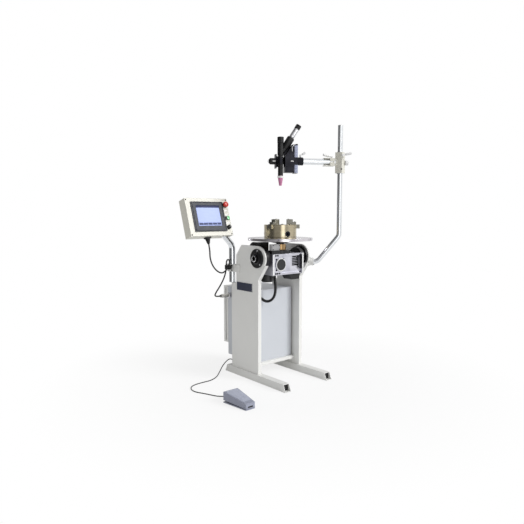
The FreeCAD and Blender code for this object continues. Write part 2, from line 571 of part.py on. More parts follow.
def cords(panel_gland):
    # Each route is a list of points: straight runs, rounded at every point by a tangent arc.
    inner, rear = at.foot_pitch / 2 - at.column_thick / 2, at.column_rear
    drop = at.tilt_height
    conduit = [(-76, -35, drop - at.gearbox_drop - at.seat_gap), (-76, -35, drop - 133),
               (-67, -32, drop - 166), (-61, -26, drop - 201), (-63, -20, drop - 234),
               (-75, -13, drop - 257), (-95, -4, drop - 269), (-117, 5, drop - 267),
               (-134, 13, drop - 254.5), (-147, 19.3, drop - 242)]
    node(tube("conduit", conduit, at.conduit_radius))
    tip = V(*conduit[-1])
    inward = (tip - V(*conduit[-2])).normalize()
    gland = doc.addObject("Part::Feature", "conduit_gland_solid")
    gland.Shape = Part.makeCylinder(at.conduit_radius + 4, 40, tip, inward).fuse(
        Part.makeCylinder(at.conduit_radius + 7, 34, tip + inward * 6, inward))
    wall = box("conduit_gland_wall", "60", "200", "200", f"-{inner} - 60", "-80", "tilt_height - 328")
    conduit_gland = cut("conduit_gland", gland, wall)

    fall = [(-172.5, rear + 16, 78), (-172.5, 300, 78), (-184, 324, 56), (-204, 335, 29), (-232, 321, 8),
            (-266, 290, 3), (-328, 228, 3), (-393, 194, 3), (-448, 195, 3), (-500, 193, 3),
            (-540, 181, 3), (-569, 152, 3), (-584, 112, 3), (-580, 70, 3), (-558, 24, 3),
            (-541, -22, 3), (-528, -66, 4.5), (-at.pedal_x, -at.pedal_rear + 43, at.relief_height),
            (-at.pedal_x, -at.pedal_rear + 16, at.relief_height)]
    node(tube("pedal_cable", fall, at.pedal_lead_radius))
    nut = cylinder("pedal_gland_nut", "9", "6", "-foot_pitch/2", "column_rear", "78", along="y")
    tip = cone("pedal_gland_tip", "7", "pedal_lead_radius + 1.5", "10", "-foot_pitch/2",
               "column_rear + 6", "78", along="y")
    pedal_gland = join("pedal_gland", nut, tip)

    clip = at.clip_height
    lead = [(-364, 250, 841), (-364, 237.6, 803), (-363, 240, 760), (-345, 244, 712), (-310, 247, 672),
            (-268, 249, 652), (-235, 250, 668), (-216, 248, clip + 16), (-210, 247, clip + 40),
            (-210, 268, clip + 42), (-213, 269, clip + 15), (-221, 268, clip - 27), (-238, 271, 612),
                (-262, 280, 566), (-283, 291, 530),
            (-291, 297, 508), (-271, at.socket_y, at.socket_height),
            (-at.cabinet_half - at.socket_length, at.socket_y, at.socket_height)]
    node(tube("panel_cable", lead, at.panel_lead_radius))
    # The saddle that holds the lead's two legs against the post clamp.
    saddle = box("saddle_block", "26", "38", "26", "-foot_pitch/2 - 52", "239", "clip_height - 7")
    ring = cylinder("saddle_ring", "post_radius + clip_wall", "60", "-foot_pitch/2", "post_y",
                    "clip_height - 30")
    ways = []
    for index, (low, high) in enumerate(((lead[6], lead[7]), (lead[11], lead[10]))):
        low, high = V(*low), V(*high)
        way = doc.addObject("Part::Feature", f"saddle_way_{index}")
        way.Shape = Part.makeCylinder(at.panel_lead_radius + 3.5, 2 * low.distanceToPoint(high),
                                      low * 1.5 - high * 0.5, high - low)
        ways.append(way)
    saddle = cut("cable_saddle", saddle, ring, *ways)
    glands = doc.addObject("Part::Compound", "cable_glands")
    glands.Links = [conduit_gland, pedal_gland, panel_gland, saddle]
    node(glands)
    face = cylinder("socket_flange", "socket_radius", "6", "-cabinet_half - 6", "socket_y", "socket_height",
                    along="x")
    ring = cylinder("socket_ring", "socket_radius - 2", "26", "-cabinet_half - 32", "socket_y",
                    "socket_height", along="x")
    shell = cylinder("socket_shell", "socket_radius - 5", "socket_length - 32 - 18",
                     "-cabinet_half - socket_length + 18", "socket_y", "socket_height", along="x")
    tail = cone("socket_tail", "panel_lead_radius + 2", "socket_radius - 6", "18",
                "-cabinet_half - socket_length", "socket_y", "socket_height", along="x")
    node(join("cable_connector", face, ring, shell, tail))


def operator_panel():
    place = FreeCAD.Placement(V(-at.panel_x, at.post_y, at.panel_z), Turn(V(1, 0, 0), -at.panel_lean))
    # Post: upright tube, then leaning over at 45 degrees to the panel's underside.
    x = -(at.foot_pitch / 2)
    rise = 70
    points = [(x, at.post_y, at.neck_height), (x, at.post_y, at.post_bend),
              (x - rise, at.post_y, at.post_bend + rise)]
    post = tube("post_tube", points, at.post_radius, at.post_radius - at.post_wall, at.post_bend_radius)
    above = box("panel_outline", "panel_width", "panel_depth", "panel_height", "-panel_width/2", "0",
                "-panel_height/2")
    beyond = carry("panel_outline_placed", place, above)
    node(cut("panel_post", post, beyond))
    # Clamp on the left column's neck.
    ring = cylinder("clip_ring", "post_radius + clip_wall", "clip_tall", "-foot_pitch/2", "post_y",
                    "clip_height - clip_tall/2")
    plate = box("clip_plate_solid", "clip_plate", "post_y - neck_rear + 40", "clip_tall",
                "-foot_pitch/2 - column_thick/2 - clip_plate", "neck_rear - 40", "clip_height - clip_tall/2")
    lug = box("clip_lug", "18", "30", "clip_tall", "-foot_pitch/2 - 9", "post_y + post_radius",
              "clip_height - clip_tall/2")
    hole = cylinder("clip_hole", "post_radius + seat_gap/3", "2*clip_tall", "-foot_pitch/2", "post_y",
                    "clip_height - clip_tall")
    slit = box("clip_slit", "3", "60", "2*clip_tall", "-foot_pitch/2 - 1.5", "post_y + post_radius/2",
               "clip_height - clip_tall")
    node(cut("post_clamp", join("clip_solid", ring, plate, lug), hole, slit))
    # Enclosure, in its own leaning frame: x across, y into the box, z up the face.
    body = new_body("panel_enclosure")
    outline = sketch_on(body, "XZ_Plane")
    draw_polygon(outline, [("-panel_width/2", "-panel_height/2"), ("panel_width/2", "-panel_height/2"),
                           ("panel_width/2", "panel_height/2"), ("-panel_width/2", "panel_height/2")])
    pad(body, outline, "panel_depth", backwards=True)
    holes = sketch_on(body, "XZ_Plane")
    draw_circle(holes, "control_x", "stop_z", "11 + running_fit")
    draw_circle(holes, "control_x", "selector_z", "8 + running_fit")
    pocket(body, holes, "24")
    square = sketch_on(body, "XZ_Plane")
    w, h = "(start_width/2 + 0.4)", "(start_height/2 + 0.4)"
    draw_polygon(square, [(f"control_x - {w}", f"start_z - {h}"), (f"control_x + {w}", f"start_z - {h}"),
                          (f"control_x + {w}", f"start_z + {h}"), (f"control_x - {w}", f"start_z + {h}")])
    pocket(body, square, "16")
    body.Placement = place
    node(body)
    bezel = box("bezel_plate", "bezel_width", "bezel_thick", "bezel_height", "-bezel_width/2 - bezel_x",
                "-bezel_thick", "-bezel_height/2 + 2")
    glass = box("bezel_window", "172", "bezel_thick", "132", "-86 - bezel_x", "-bezel_thick*1.6", "-58")
    node(carry("display", place, cut("display_solid", bezel, glass)))
    head = cylinder("stop_head", "stop_radius", "9", "control_x", "-17", "stop_z", along="y")
    stem = cylinder("stop_stem", "11", "22", "control_x", "-8", "stop_z", along="y")
    node(carry("stop_button", place, join("stop_solid", head, stem)))
    cap = box("start_cap", "start_width", "14", "start_height", "control_x - start_width/2", "-7",
              "start_z - start_height/2")
    node(carry("start_button", place, cap))
    collar = cylinder("selector_collar", "selector_radius", "5", "control_x", "-5.3", "selector_z", along="y")
    knob = cylinder("selector_turn", "selector_radius - 3", "10", "control_x", "-15", "selector_z", along="y")
    grip = box("selector_grip", "6", "12", "2*selector_radius - 4", "control_x - 3", "-20",
               "selector_z - selector_radius + 2")
    shaft = cylinder("selector_shaft", "8", "18", "control_x", "-1", "selector_z", along="y")
    node(carry("selector_knob", place, join("selector_solid", collar, knob, grip, shaft)))
    nut = box("panel_gland_nut", "36", "30", "8", "-36", "20", "-panel_height/2 - 8")
    boot = cone("panel_gland_boot", "panel_lead_radius + 2", "15", "34", "-18", "35", "-panel_height/2 - 42")
    return carry("panel_gland", place, join("panel_gland_solid", nut, boot))


def badge():
    high = "(clip_height - badge_below)"
    node(box("name_plate", "badge_thick", "badge_width", "badge_height",
             "-(foot_pitch/2 + column_thick/2 + badge_thick)", "badge_start", f"{high} - badge_height"))


def mast():
    azimuth = math.radians(at.mast_azimuth)
    post_x, post_y = at.mast_reach * math.cos(azimuth), at.mast_reach * math.sin(azimuth)
    heading = V(post_x - at.mast_foot_x, post_y - at.mast_foot_y, 0).normalize()
    foot_point = V(at.mast_foot_x, at.mast_foot_y, (at.tilt_height - at.mast_drop))
    knee = foot_point + heading * at.mast_stub
    points = [tuple(foot_point - heading * 8), tuple(knee), (post_x, post_y,
        at.tilt_height + at.mast_elbow_rise),
              (post_x, post_y, at.mast_top - 4)]
    pipe = tube("mast_tube", points, at.mast_radius, at.mast_radius - at.mast_wall, at.mast_bend_radius)
    plug = cylinder("mast_plug", "mast_radius", "4", "mast_reach*cos(mast_azimuth)",
                    "mast_reach*sin(mast_azimuth)", "mast_top - 4")
    node(join("torch_mast", pipe, plug))
    # Split bracket on the right column's head: a plate with a sleeve round the mast's foot.
    turn = Turn(V(0, 0, 1), heading)
    outer = at.foot_pitch / 2 + at.column_thick / 2
    plate = box("bracket_plate", "8", "68", "62", "foot_pitch/2 + column_thick/2", "-68",
                "(tilt_height - mast_drop) - 24")
    sleeve = doc.addObject("Part::Feature", "bracket_sleeve")
    start = foot_point - heading * 12
    sleeve.Shape = Part.makeCylinder(at.mast_radius + 8, 34, start, heading)
    trim = box("bracket_trim", "200", "400", "400", "foot_pitch/2 + column_thick/2 - 200", "-200",
               "(tilt_height - mast_drop) - 200")
    bore = doc.addObject("Part::Feature", "bracket_bore")
    bore.Shape = Part.makeCylinder(at.mast_radius + at.seat_gap / 3, 80, foot_point - heading * 8, heading)
    clear = cylinder("bracket_clearance", "bearing_radius + 1", "bearing_thick + 2",
                     "foot_pitch/2 + column_thick/2 - 1", z="tilt_height", along="x")
    node(cut("mast_bracket", join("bracket_solid", plate, sleeve), trim, bore, clear))


def torch_side():
    # Drawn with the table's axis at the origin and the mast along +x, then turned into place.
    place = spin_about_table(at.mast_azimuth)
    leaning = Turn(V(0, 1, 0), at.grip_lean)

    def set_out(name, thing):
        return node(carry(name, place, thing))

    low = "(clamp_z - clamp_height/2)"
    sleeve = cylinder("sleeve_outer", "mast_radius + sleeve_wall", "clamp_height + 8", "mast_reach",
                      z=f"{low} - 4")
    rim = cylinder("sleeve_rim", "mast_radius + sleeve_wall + 3", "3.7", "mast_reach", z=f"{low} - 4")
    bore = cylinder("sleeve_bore", "mast_radius + running_fit", "2*clamp_height", "mast_reach",
                    z=f"{low} - 30")
    set_out("mast_sleeve", cut("sleeve_cut", join("sleeve_solid", sleeve, rim), bore))

    # Clamp: a square bar on edge that swings on the sleeve, and a split jaw that grips the arm.
    bar = box("clamp_bar", "clamp_side", "clamp_side", "clamp_height")
    bar.Placement = FreeCAD.Placement(V(), Turn(V(0, 0, 1), 45))
    seat(bar, "mast_reach", "-clamp_side/sqrt(2)", low, Turn(V(0, 0, 1), 45))
    seats = [cylinder("clamp_lever_seat", "8", "8", "mast_reach + 4", "0.6 - clamp_half", "clamp_z + 44",
        along="y"),
             cylinder("clamp_knob_seat", "9", "8", "mast_reach + clamp_half - 8.6", "0", "clamp_z",
                 along="x")]
    jaw = box("arm_jaw", "arm_jaw_end - arm_jaw_start", "2*arm_clamp_half", "2*arm_clamp_half",
              "arm_jaw_start", "-arm_clamp_half", "arm_z - arm_clamp_half - 2")
    web = box("arm_jaw_web", "mast_reach - arm_jaw_end - mast_radius", "arm_clamp_half", "1.6*arm_clamp_half",
              "arm_jaw_end - 2", "-arm_clamp_half/2", "arm_z - 0.8*arm_clamp_half")
    lips = [box(f"arm_jaw_lip_{i}", "arm_jaw_start - arm_clamp_start + 2", "2*arm_clamp_half - 8", "arm_lip",
                "arm_clamp_start", "4 - arm_clamp_half", z)
            for i, z in enumerate(("arm_z + arm_clamp_half - 2 - arm_lip + 1", "arm_z - arm_clamp_half - 2"))]
    lever_x, lever_z = "(mast_reach + 4)", "(clamp_z + 44)"
    arm_lever_x, arm_lever_z = "(arm_jaw_start + 17)", "(arm_z + arm_clamp_half - 2)"
    studs = [cylinder("mast_lever_stud", "stud_radius", "11", lever_x, "-clamp_half - 10", lever_z,
        along="y"),
             cylinder("arm_lever_stud", "stud_radius", "13", arm_lever_x, "0", f"{arm_lever_z} - 4")]
    solid = join("clamp_solid", bar, jaw, web, *seats, *lips, *studs)
    block_bore = cylinder("clamp_bore", "mast_radius + sleeve_wall + running_fit", "2*clamp_height",
                          "mast_reach", z=f"{low} - 30")
    arm_bore = cylinder("arm_jaw_bore", "arm_radius + running_fit", "arm_end - arm_clamp_start + seat_gap",
                        "arm_clamp_start", z="arm_z", along="x")
    split = box("arm_jaw_split", "arm_jaw_end - arm_clamp_start - 5", "60", "5", "arm_clamp_start", "-60",
                "arm_z - 2.5")
    knob_bore = cylinder("clamp_knob_bore", "4 + running_fit", "11", "mast_reach + clamp_half - 10", "0",
                         "clamp_z", along="x")
    set_out("mast_clamp", cut("clamp_cut", solid, block_bore, arm_bore, split, knob_bore))
    boss = cylinder("mast_lever_boss", "7", "14", lever_x, "-clamp_half - 14.3", lever_z, along="y")
    handle = cone("mast_lever_handle", "4", "5.5", "52", lever_x, "-clamp_half - 8", lever_z,
                  Turn(V(0, 1, 0), 78))
    eye = cylinder("mast_lever_eye", "stud_radius + running_fit", "10.5", lever_x, "-clamp_half - 10.2",
                   lever_z, along="y")
    set_out("mast_lever", cut("mast_lever_cut", join("mast_lever_solid", boss, handle), eye))
    stem = cylinder("clamp_knob_stem", "4", "20", "mast_reach + clamp_half - 9.5", "0", "clamp_z", along="x")
    grip = cylinder("clamp_knob_grip", "clamp_knob_radius", "clamp_knob_length - 6",
                    "mast_reach + clamp_half + seat_gap", "0",
                    "clamp_z", along="x")
    crown = cone("clamp_knob_crown", "clamp_knob_radius", "clamp_knob_radius - 6", "6",
                 "mast_reach + clamp_half + clamp_knob_length - 6 + seat_gap", "0", "clamp_z", along="x")
    set_out("clamp_knob", join("clamp_knob_solid", stem, grip, crown))
    boss = cylinder("arm_lever_boss", "6", "12", arm_lever_x, "0", f"{arm_lever_z} + seat_gap")
    handle = cone("arm_lever_handle", "3.5", "5", "54", arm_lever_x, "0", f"{arm_lever_z} + 8",
                  Turn(V(0, 1, 0), -76))
    eye = cylinder("arm_lever_eye", "stud_radius + running_fit", "9.5", arm_lever_x, "0", arm_lever_z)
    set_out("arm_lever", cut("arm_lever_cut", join("arm_lever_solid", boss, handle), eye))

    arm_bar = cylinder("arm_bar", "arm_radius", "arm_end - arm_start", "arm_start", z="arm_z", along="x")
    spigot = cylinder("arm_spigot", "arm_radius - 6", "arm_start - rail_right - 6", "rail_right + 6",
                      z="arm_z", along="x")
    set_out("arm", join("arm_solid", arm_bar, spigot))

    # Head: a collar that rolls on the arm's spigot and carries the upright toothed rail.
    rail_low = "(rail_z - rail_height/2)"
    rail = box("rail_bar", "rail_right - rail_left", "2*rail_half", "rail_height", "rail_left", "-rail_half",
               rail_low)
    teeth = [box(f"rail_tooth_{i}", "6", "3.5", "rail_height/44", "rail_right - 5", "-rail_half - 1",
                 f"{rail_low} + rail_height*{i}/22 + 2") for i in range(22)]
    collar = cylinder("collar", "collar_radius", "arm_start - rail_right - seat_gap", "rail_right",
                      z="arm_z", along="x")
    collar_bore = cylinder("collar_bore", "arm_radius - 6 + running_fit", "arm_start - rail_right",
                           "rail_right + 5.7", z="arm_z", along="x")
    head_x = "(rail_right + 23)"
    stud = cylinder("head_lever_stud", "stud_radius", "14", head_x, "0", "arm_z + collar_radius - 3")
    relief = box("rail_corner", "rail_relief*sqrt(2)", "2*rail_half + 2", "rail_relief*sqrt(2)")
    seat(relief, "rail_left - rail_relief", "-rail_half - 1", "rail_z + rail_height/2", Turn(V(0, 1, 0), 45))
    set_out("arm_head", cut("arm_head_cut", join("arm_head_solid", rail, collar, stud), collar_bore, relief,
                            *teeth))
    boss = cylinder("head_lever_boss", "5.5", "16", head_x, "0", "arm_z + collar_radius + seat_gap")
    handle = cone("head_lever_handle", "4", "4.5", "32", head_x, "0", "arm_z + collar_radius + 12",
                  Turn(V(0, 1, 0), 62))
    eye = cylinder("head_lever_eye", "stud_radius + running_fit", "11.5", head_x, "0",
                   "arm_z + collar_radius")
    set_out("head_lever", cut("head_lever_cut", join("head_lever_solid", boss, handle), eye))

    # Slide block on the rail, with the cross rod that the torch holder runs along.
    block_low = "(rail_z - slide_height/2)"
    block = box("slide_bar", "rail_left - slide_left - seat_gap", "2*rail_half", "slide_height", "slide_left",
                "-rail_half", block_low)
    # The block's top corner is cut away along the leaning grip.
    notch = carry("slide_notch", FreeCAD.Placement(V(10, 0, at.grip_z), leaning),
                  box("slide_notch_solid", "3*slide_height + grip_radius + grip_clearance", "4*rail_half",
                      "4*slide_height", "-3*slide_height", "-2*rail_half", "-2*slide_height"))
    block = cut("slide_bar_cut", block, notch)
    gib = box("slide_gib", "rail_right - rail_left + 18", "8", "slide_height - 40", "rail_left - 16",
              "rail_half + seat_gap", f"{block_low} + 10")
    bridge = box("slide_bridge", "14", "5", "slide_height - 40", "rail_left - 16", "rail_half - 2",
                 f"{block_low} + 10")
    rod_start, rod_gap = "(knob_face + knob_length/2 - 1)", "seat_gap"
    rod = cylinder("slide_rod", "rod_radius", f"slide_left + 20 + {rod_start}", f"-{rod_start}", "rod_y",
                   "holder_z", along="x")
    shoe = box("slide_shoe", "30", "cross_rail_y + cross_rail_thick - rail_half + 2", "26", "slide_left",
               "rail_half - 2", "holder_z - 13")
    way = box("cross_way", f"slide_left + 2 + knob_face - {rod_gap}", "cross_rail_thick", "cross_rail",
              f"{rod_gap} - knob_face", "cross_rail_y", "holder_z - cross_rail/2")
    plate = box("cross_end_plate", "end_plate", "cross_rail_y + cross_rail_thick - holder_ring",
                "end_plate_height", f"{rod_gap} - knob_face", "holder_ring", "holder_z - end_plate_height/2")
    set_out("slide_block", join("slide_solid", block, gib, bridge, rod, shoe, way, plate))
    knob = cylinder("cross_knob_grip", "knob_radius", "knob_length - 8", "8 - knob_face - knob_length",
                    "rod_y", "holder_z", along="x")
    crown = cone("cross_knob_crown", "knob_radius - 7", "knob_radius", "8", "-knob_face - knob_length",
                 "rod_y", "holder_z", along="x")
    knob = join("cross_knob_solid", knob, crown)
    eye = cylinder("cross_knob_eye", "rod_radius + running_fit", "knob_length/2",
                   "-knob_face - knob_length/2", "rod_y", "holder_z", along="x")
    set_out("cross_knob", cut("cross_knob_cut", knob, eye))

    holder_low = "(holder_z - holder_height/2)"
    ring = cylinder("holder_ring_solid", "holder_ring", "holder_height", z=holder_low)
    lug = box("holder_lug", "2*holder_half", "cross_rail_y - seat_gap", "holder_height", "-holder_half", "0",
              holder_low)
    rod_bore = cylinder("holder_rod_bore", "rod_radius + running_fit", "4*holder_half", "-2*holder_half",
                        "rod_y", "holder_z", along="x")
    seat_bore = cylinder("holder_seat", "neck_radius + running_fit", "2*holder_height",
                         z=f"{holder_low} - holder_height/2")
    set_out("torch_holder", cut("holder_cut", join("holder_solid", ring, lug), rod_bore, seat_bore))

    # Torch: an upright barrel with a back cap and a ceramic cup, and a leaning handle.
    lean = math.radians(at.grip_lean)
    out = V(math.sin(lean), 0, math.cos(lean))
    barrel = [cylinder("torch_neck", "neck_radius", "barrel_step - cup_top - gasket_height",
                       z="cup_top + gasket_height"),
              cylinder("torch_barrel", "barrel_radius", "barrel_top - barrel_step", z="barrel_step")]
    # The grip widens towards the hose end.
    barrel.append(cone("torch_grip_taper", "grip_radius - grip_taper", "grip_radius", "grip_body", "10", "0",
                       "grip_z", leaning))
    run = at.grip_body
    for name, radius, length in (("torch_grip", "grip_radius", "grip_end"),
                                 ("torch_thread", "thread_radius", "thread_length"),
                                 ("torch_end", "endcap_radius", "endcap_length")):
        barrel.append(cylinder(name, radius, length, f"10 + {out.x * run}", "0", f"grip_z + {out.z * run}",
                               leaning))
        run += getattr(at, length)
    set_out("torch_body", join("torch_solid", *barrel))
    cap = cylinder("backcap_solid", "backcap_radius", "backcap_top - barrel_top", z="barrel_top")
    set_out("back_cap", cap)
    gasket = cylinder("cup_gasket", "gasket_radius", "gasket_height", z="cup_top")
    cup = cone("cup_cone", "cup_mouth", "cup_radius", "cup_top - cup_bottom", z="cup_bottom")
    mouth = cylinder("cup_bore", "cup_mouth - 2.5", "30", z="cup_bottom - 5")
    set_out("torch_cup", cut("cup_cut", join("cup_solid", gasket, cup), mouth))


def foot_pedal():
    def plan(name, inset, low, height):
        ends = [("-pedal_rear", "pedal_rear_half"), ("-pedal_front", "pedal_front_half")]
        (y_rear, half_rear), (y_front, half_front) = ends
        corners = [(f"-pedal_x - {half_rear} + {inset}", f"{y_rear} - {inset}"),
                   (f"-pedal_x + {half_rear} - {inset}", f"{y_rear} - {inset}"),
                   (f"-pedal_x + {half_front} - {inset}", f"{y_front} + {inset}"),
                   (f"-pedal_x - {half_front} + {inset}", f"{y_front} + {inset}")]
        return prism(name, "XY_Plane", corners, height, low, symmetric=False)

    flange = plan("pedal_flange_plate", "0", "0", "pedal_flange")
    core = prism("pedal_core_block", "YZ_Plane",
                 [("-pedal_front + 9", "0"), ("-pedal_rear - 15", "0"),
                  ("-pedal_rear - 15", "pedal_rear_height - 24"), ("-pedal_front + 9",
                      "pedal_front_height - 12")],
                 "pedal_core", "-pedal_x")
    pin = cylinder("pedal_axle", "pedal_pin", "2*pedal_front_half - 2", "-pedal_x - pedal_front_half + 1",
                   "-pedal_hinge_y", "pedal_hinge_z", along="x")
    relief = cone("pedal_relief", "5.5", "pedal_lead_radius + 1", "31", "-pedal_x", "-pedal_rear - 15",
                  "relief_height", along="y")
    node(join("pedal_base", flange, core, pin, relief))

    def side_view(name, inset, low):
        return prism(name, "YZ_Plane",
                     [(f"-pedal_front + {inset}", f"pedal_skirt_front - {low}"),
                      (f"-pedal_rear - {inset}", f"pedal_skirt_rear - {low}"),
                      (f"-pedal_rear - {inset}", f"pedal_rear_height - {inset}"),
                      (f"-pedal_front + {inset}", f"pedal_front_height - {inset}")],
                     "3*pedal_rear_half", "-pedal_x")

    hood = common("pedal_hood", side_view("hood_side", "0", "0"), plan("hood_plan", "0", "0", "80"))
    inside = common("pedal_hood_inside", side_view("hood_inner_side", "pedal_wall", "60"),
                    plan("hood_inner_plan", "pedal_wall", "-80", "160"))
    fall = math.atan2(at.pedal_rear_height - at.pedal_front_height, at.pedal_front - at.pedal_rear)
    ribs = []
    for index in range(int(at.rib_count)):
        along = 14 + index * at.rib_pitch
        y, z = -at.pedal_rear - along * math.cos(fall), at.pedal_rear_height - along * math.sin(fall)
        ribs.append(box(f"tread_rib_{index}", "2*pedal_rear_half", "rib_width", "2*rib_height"))
        ribs[-1].Placement = FreeCAD.Placement(V(-at.pedal_x - at.pedal_rear_half, y, z - at.rib_height),
                                               Turn(V(1, 0, 0), math.degrees(fall)))
    tread = common("pedal_tread", join("tread_ribs", *ribs), plan("tread_plan", "6", "0", "80"))
    axle_bore = cylinder("hood_axle_bore", "pedal_pin + running_fit", "3*pedal_rear_half",
                         "-pedal_x - 1.5*pedal_rear_half", "-pedal_hinge_y", "pedal_hinge_z", along="x")
    cable_notch = box("hood_cable_notch", "16", "20", "28", "-pedal_x - 8", "-pedal_rear - 10", "0")
    node(cut("pedal_treadle", join("pedal_treadle_solid", hood, tread), inside, axle_bore, cable_notch))


def build():
    for name, side in (("left", -1), ("right", 1)):
        foot(name + "_foot", side)
        column(name + "_column", side)
        bearing(name + "_bearing", side)
        trunnion(name + "_trunnion", side)
    gearbox()
    turntable()
    chuck()
    shelf_and_cabinet()
    cords(operator_panel())
    badge()
    mast()
    torch_side()
    foot_pedal()


build()
doc.recompute()
for thing in doc.Objects:
    if "Invalid" in thing.State or "Error" in thing.State:
        raise RuntimeError(f"{thing.Name} failed: {thing.State}")
os.makedirs("parts", exist_ok=True)
for thing in nodes:
    shape = thing.Shape
    if shape.isNull() or not shape.isValid() or not shape.Solids:
        raise RuntimeError(f"{thing.Name} has no valid shape")
    shape.exportStep(f"parts/{thing.Label}.step")
print(len(nodes), "nodes,", sum(len(thing.Shape.Solids) for thing in nodes), "solids")
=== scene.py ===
import math

import bmesh
import bpy
from mathutils import Matrix, Vector
from mathutils.bvhtree import BVHTree


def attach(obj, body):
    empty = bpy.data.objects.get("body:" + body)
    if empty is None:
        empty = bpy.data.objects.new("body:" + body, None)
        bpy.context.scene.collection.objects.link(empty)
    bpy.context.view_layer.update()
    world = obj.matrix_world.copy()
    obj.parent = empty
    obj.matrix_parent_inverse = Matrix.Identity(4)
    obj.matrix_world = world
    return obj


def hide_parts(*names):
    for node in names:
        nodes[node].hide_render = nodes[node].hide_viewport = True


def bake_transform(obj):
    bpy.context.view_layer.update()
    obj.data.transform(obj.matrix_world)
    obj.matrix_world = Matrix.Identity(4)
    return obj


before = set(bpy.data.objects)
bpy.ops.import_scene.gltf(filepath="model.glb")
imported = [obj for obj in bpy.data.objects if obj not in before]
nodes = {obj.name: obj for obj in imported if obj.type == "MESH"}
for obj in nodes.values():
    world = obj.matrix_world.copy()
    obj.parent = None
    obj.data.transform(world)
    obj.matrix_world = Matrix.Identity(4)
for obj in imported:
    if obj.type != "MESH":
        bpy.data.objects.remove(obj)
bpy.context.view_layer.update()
print("frame loaded:", len(nodes), "nodes")


def toLinear(hexColour):
    channels = [int(hexColour[i:i + 2], 16) / 255 for i in (1, 3, 5)]
    return (*[c / 12.92 if c <= 0.04045 else ((c + 0.055) / 1.055) ** 2.4 for c in channels], 1.0)


def mm(size):
    return size / 1000


view = {"place": (-2.1565, -2.3836, 1.0246), "azimuth": -40.11, "pitch": 5.71, "sensor": 36,
        "focal": 0.988073, "shift": (0.0002, 0.0070), "clipEnd": 100}

cameraData = bpy.data.cameras.new("camera")
cameraData.sensor_width = view["sensor"]
cameraData.lens = view["sensor"] * view["focal"]
cameraData.shift_x, cameraData.shift_y = view["shift"]
cameraData.clip_end = view["clipEnd"]
camera = bpy.data.objects.new("camera", cameraData)
bpy.context.scene.collection.objects.link(camera)
camera.location = view["place"]
camera.rotation_euler = (math.radians(90 - view["pitch"]), 0, math.radians(view["azimuth"]))
bpy.context.scene.camera = camera
print("camera placed")


def addNode(tree, kind, inputs=None, **settings):
    node = tree.nodes.new(kind)
    for name, value in settings.items():
        setattr(node, name, value)
    for name, value in (inputs or {}).items():
        if isinstance(value, bpy.types.NodeSocket):
            tree.links.new(value, node.inputs[name])
        else:
            node.inputs[name].default_value = value
    return node


def newMaterial(name):
    material = bpy.data.materials.new(name)
    material.use_nodes = True
    tree = material.node_tree
    tree.nodes.clear()
    shader = addNode(tree, "ShaderNodeBsdfPrincipled")
    addNode(tree, "ShaderNodeOutputMaterial", {"Surface": shader.outputs["BSDF"]})
    return material, tree, shader


def objectPoint(tree):
    return addNode(tree, "ShaderNodeTexCoord").outputs["Object"]


def twoColours(tree, factor, low, high):
    ramp = addNode(tree, "ShaderNodeValToRGB", {"Fac": factor})
    ramp.color_ramp.elements[0].color = toLinear(low)
    ramp.color_ramp.elements[1].color = toLinear(high)
    return ramp.outputs["Color"]


def noise(tree, place, size, detail):
    texture = addNode(tree, "ShaderNodeTexNoise", {"Vector": place, "Scale": 1 / mm(size), "Detail": detail})
    return texture.outputs["Fac"]


bevels = {"samples": 4, "flatDot": 0.98, "cornerDot": 0.75}


def edgeMask(tree, radius):
    # 1 on sharp corners, 0 on flats: the bevelled normal turns away from the true one there
    bevel = addNode(tree, "ShaderNodeBevel", {"Radius": radius}, samples=bevels["samples"])
    true = addNode(tree, "ShaderNodeNewGeometry").outputs["Normal"]
    dot = addNode(tree, "ShaderNodeVectorMath", {0: bevel.outputs["Normal"], 1: true},
                  operation="DOT_PRODUCT")
    return addNode(tree, "ShaderNodeMapRange", {"Value": dot.outputs["Value"], "From Min": bevels["flatDot"],
                                                "From Max": bevels["cornerDot"]}).outputs["Result"]


def finishNormal(tree, shader, height, strength, depth, edge):
    rounded = addNode(tree, "ShaderNodeBevel", {"Radius": mm(edge)}, samples=bevels["samples"])
    bump = addNode(tree, "ShaderNodeBump", {"Height": height, "Strength": strength, "Distance": mm(depth),
                                            "Normal": rounded.outputs["Normal"]})
    tree.links.new(bump.outputs["Normal"], shader.inputs["Normal"])


def finishRoughness(tree, shader, factor, middle, spread):
    rough = addNode(tree, "ShaderNodeMapRange", {"Value": factor, "To Min": middle - spread,
                                                 "To Max": middle + spread})
    tree.links.new(rough.outputs["Result"], shader.inputs["Roughness"])


paint = {"cloudDetail": 3.0, "peelDetail": 2.0, "depth": 0.2, "spread": 0.06, "ior": 1.5}
metal = {"grainDetail": 4.0, "cloud": 60, "cloudDetail": 2.0, "low": 0.12, "high": 0.42, "depth": 0.1,
         "spread": 0.08, "edge": 0.8}
plastic = {"cloud": 25, "cloudDetail": 3.0, "depth": 0.15, "spread": 0.07, "edge": 1.0}


def powderCoat(name, values):
    # Powder coat on sheet steel: even colour, fine orange peel, a soft satin gloss, edges painted paler as a
    # highlight
    material, tree, shader = newMaterial(name)
    point = objectPoint(tree)
    cloud = noise(tree, point, values["cloud"], paint["cloudDetail"])
    colour = twoColours(tree, cloud, values["dark"], values["light"])
    # Painted highlight: a paler colour mixed in on the edges stands in for light catching them
    highlightMask = edgeMask(tree, mm(values["edge"]))
    highlighted = addNode(tree, "ShaderNodeMix", {"Factor": highlightMask, 6: colour, 7: toLinear(values["edgeHighlight"])},
                    data_type="RGBA")
    tree.links.new(highlighted.outputs[2], shader.inputs["Base Color"])
    peel = noise(tree, point, values["peel"], paint["peelDetail"])
    finishNormal(tree, shader, peel, values["bump"], paint["depth"], values["edge"])
    finishRoughness(tree, shader, cloud, values["rough"], paint["spread"])
    shader.inputs["IOR"].default_value = paint["ior"]
    return material


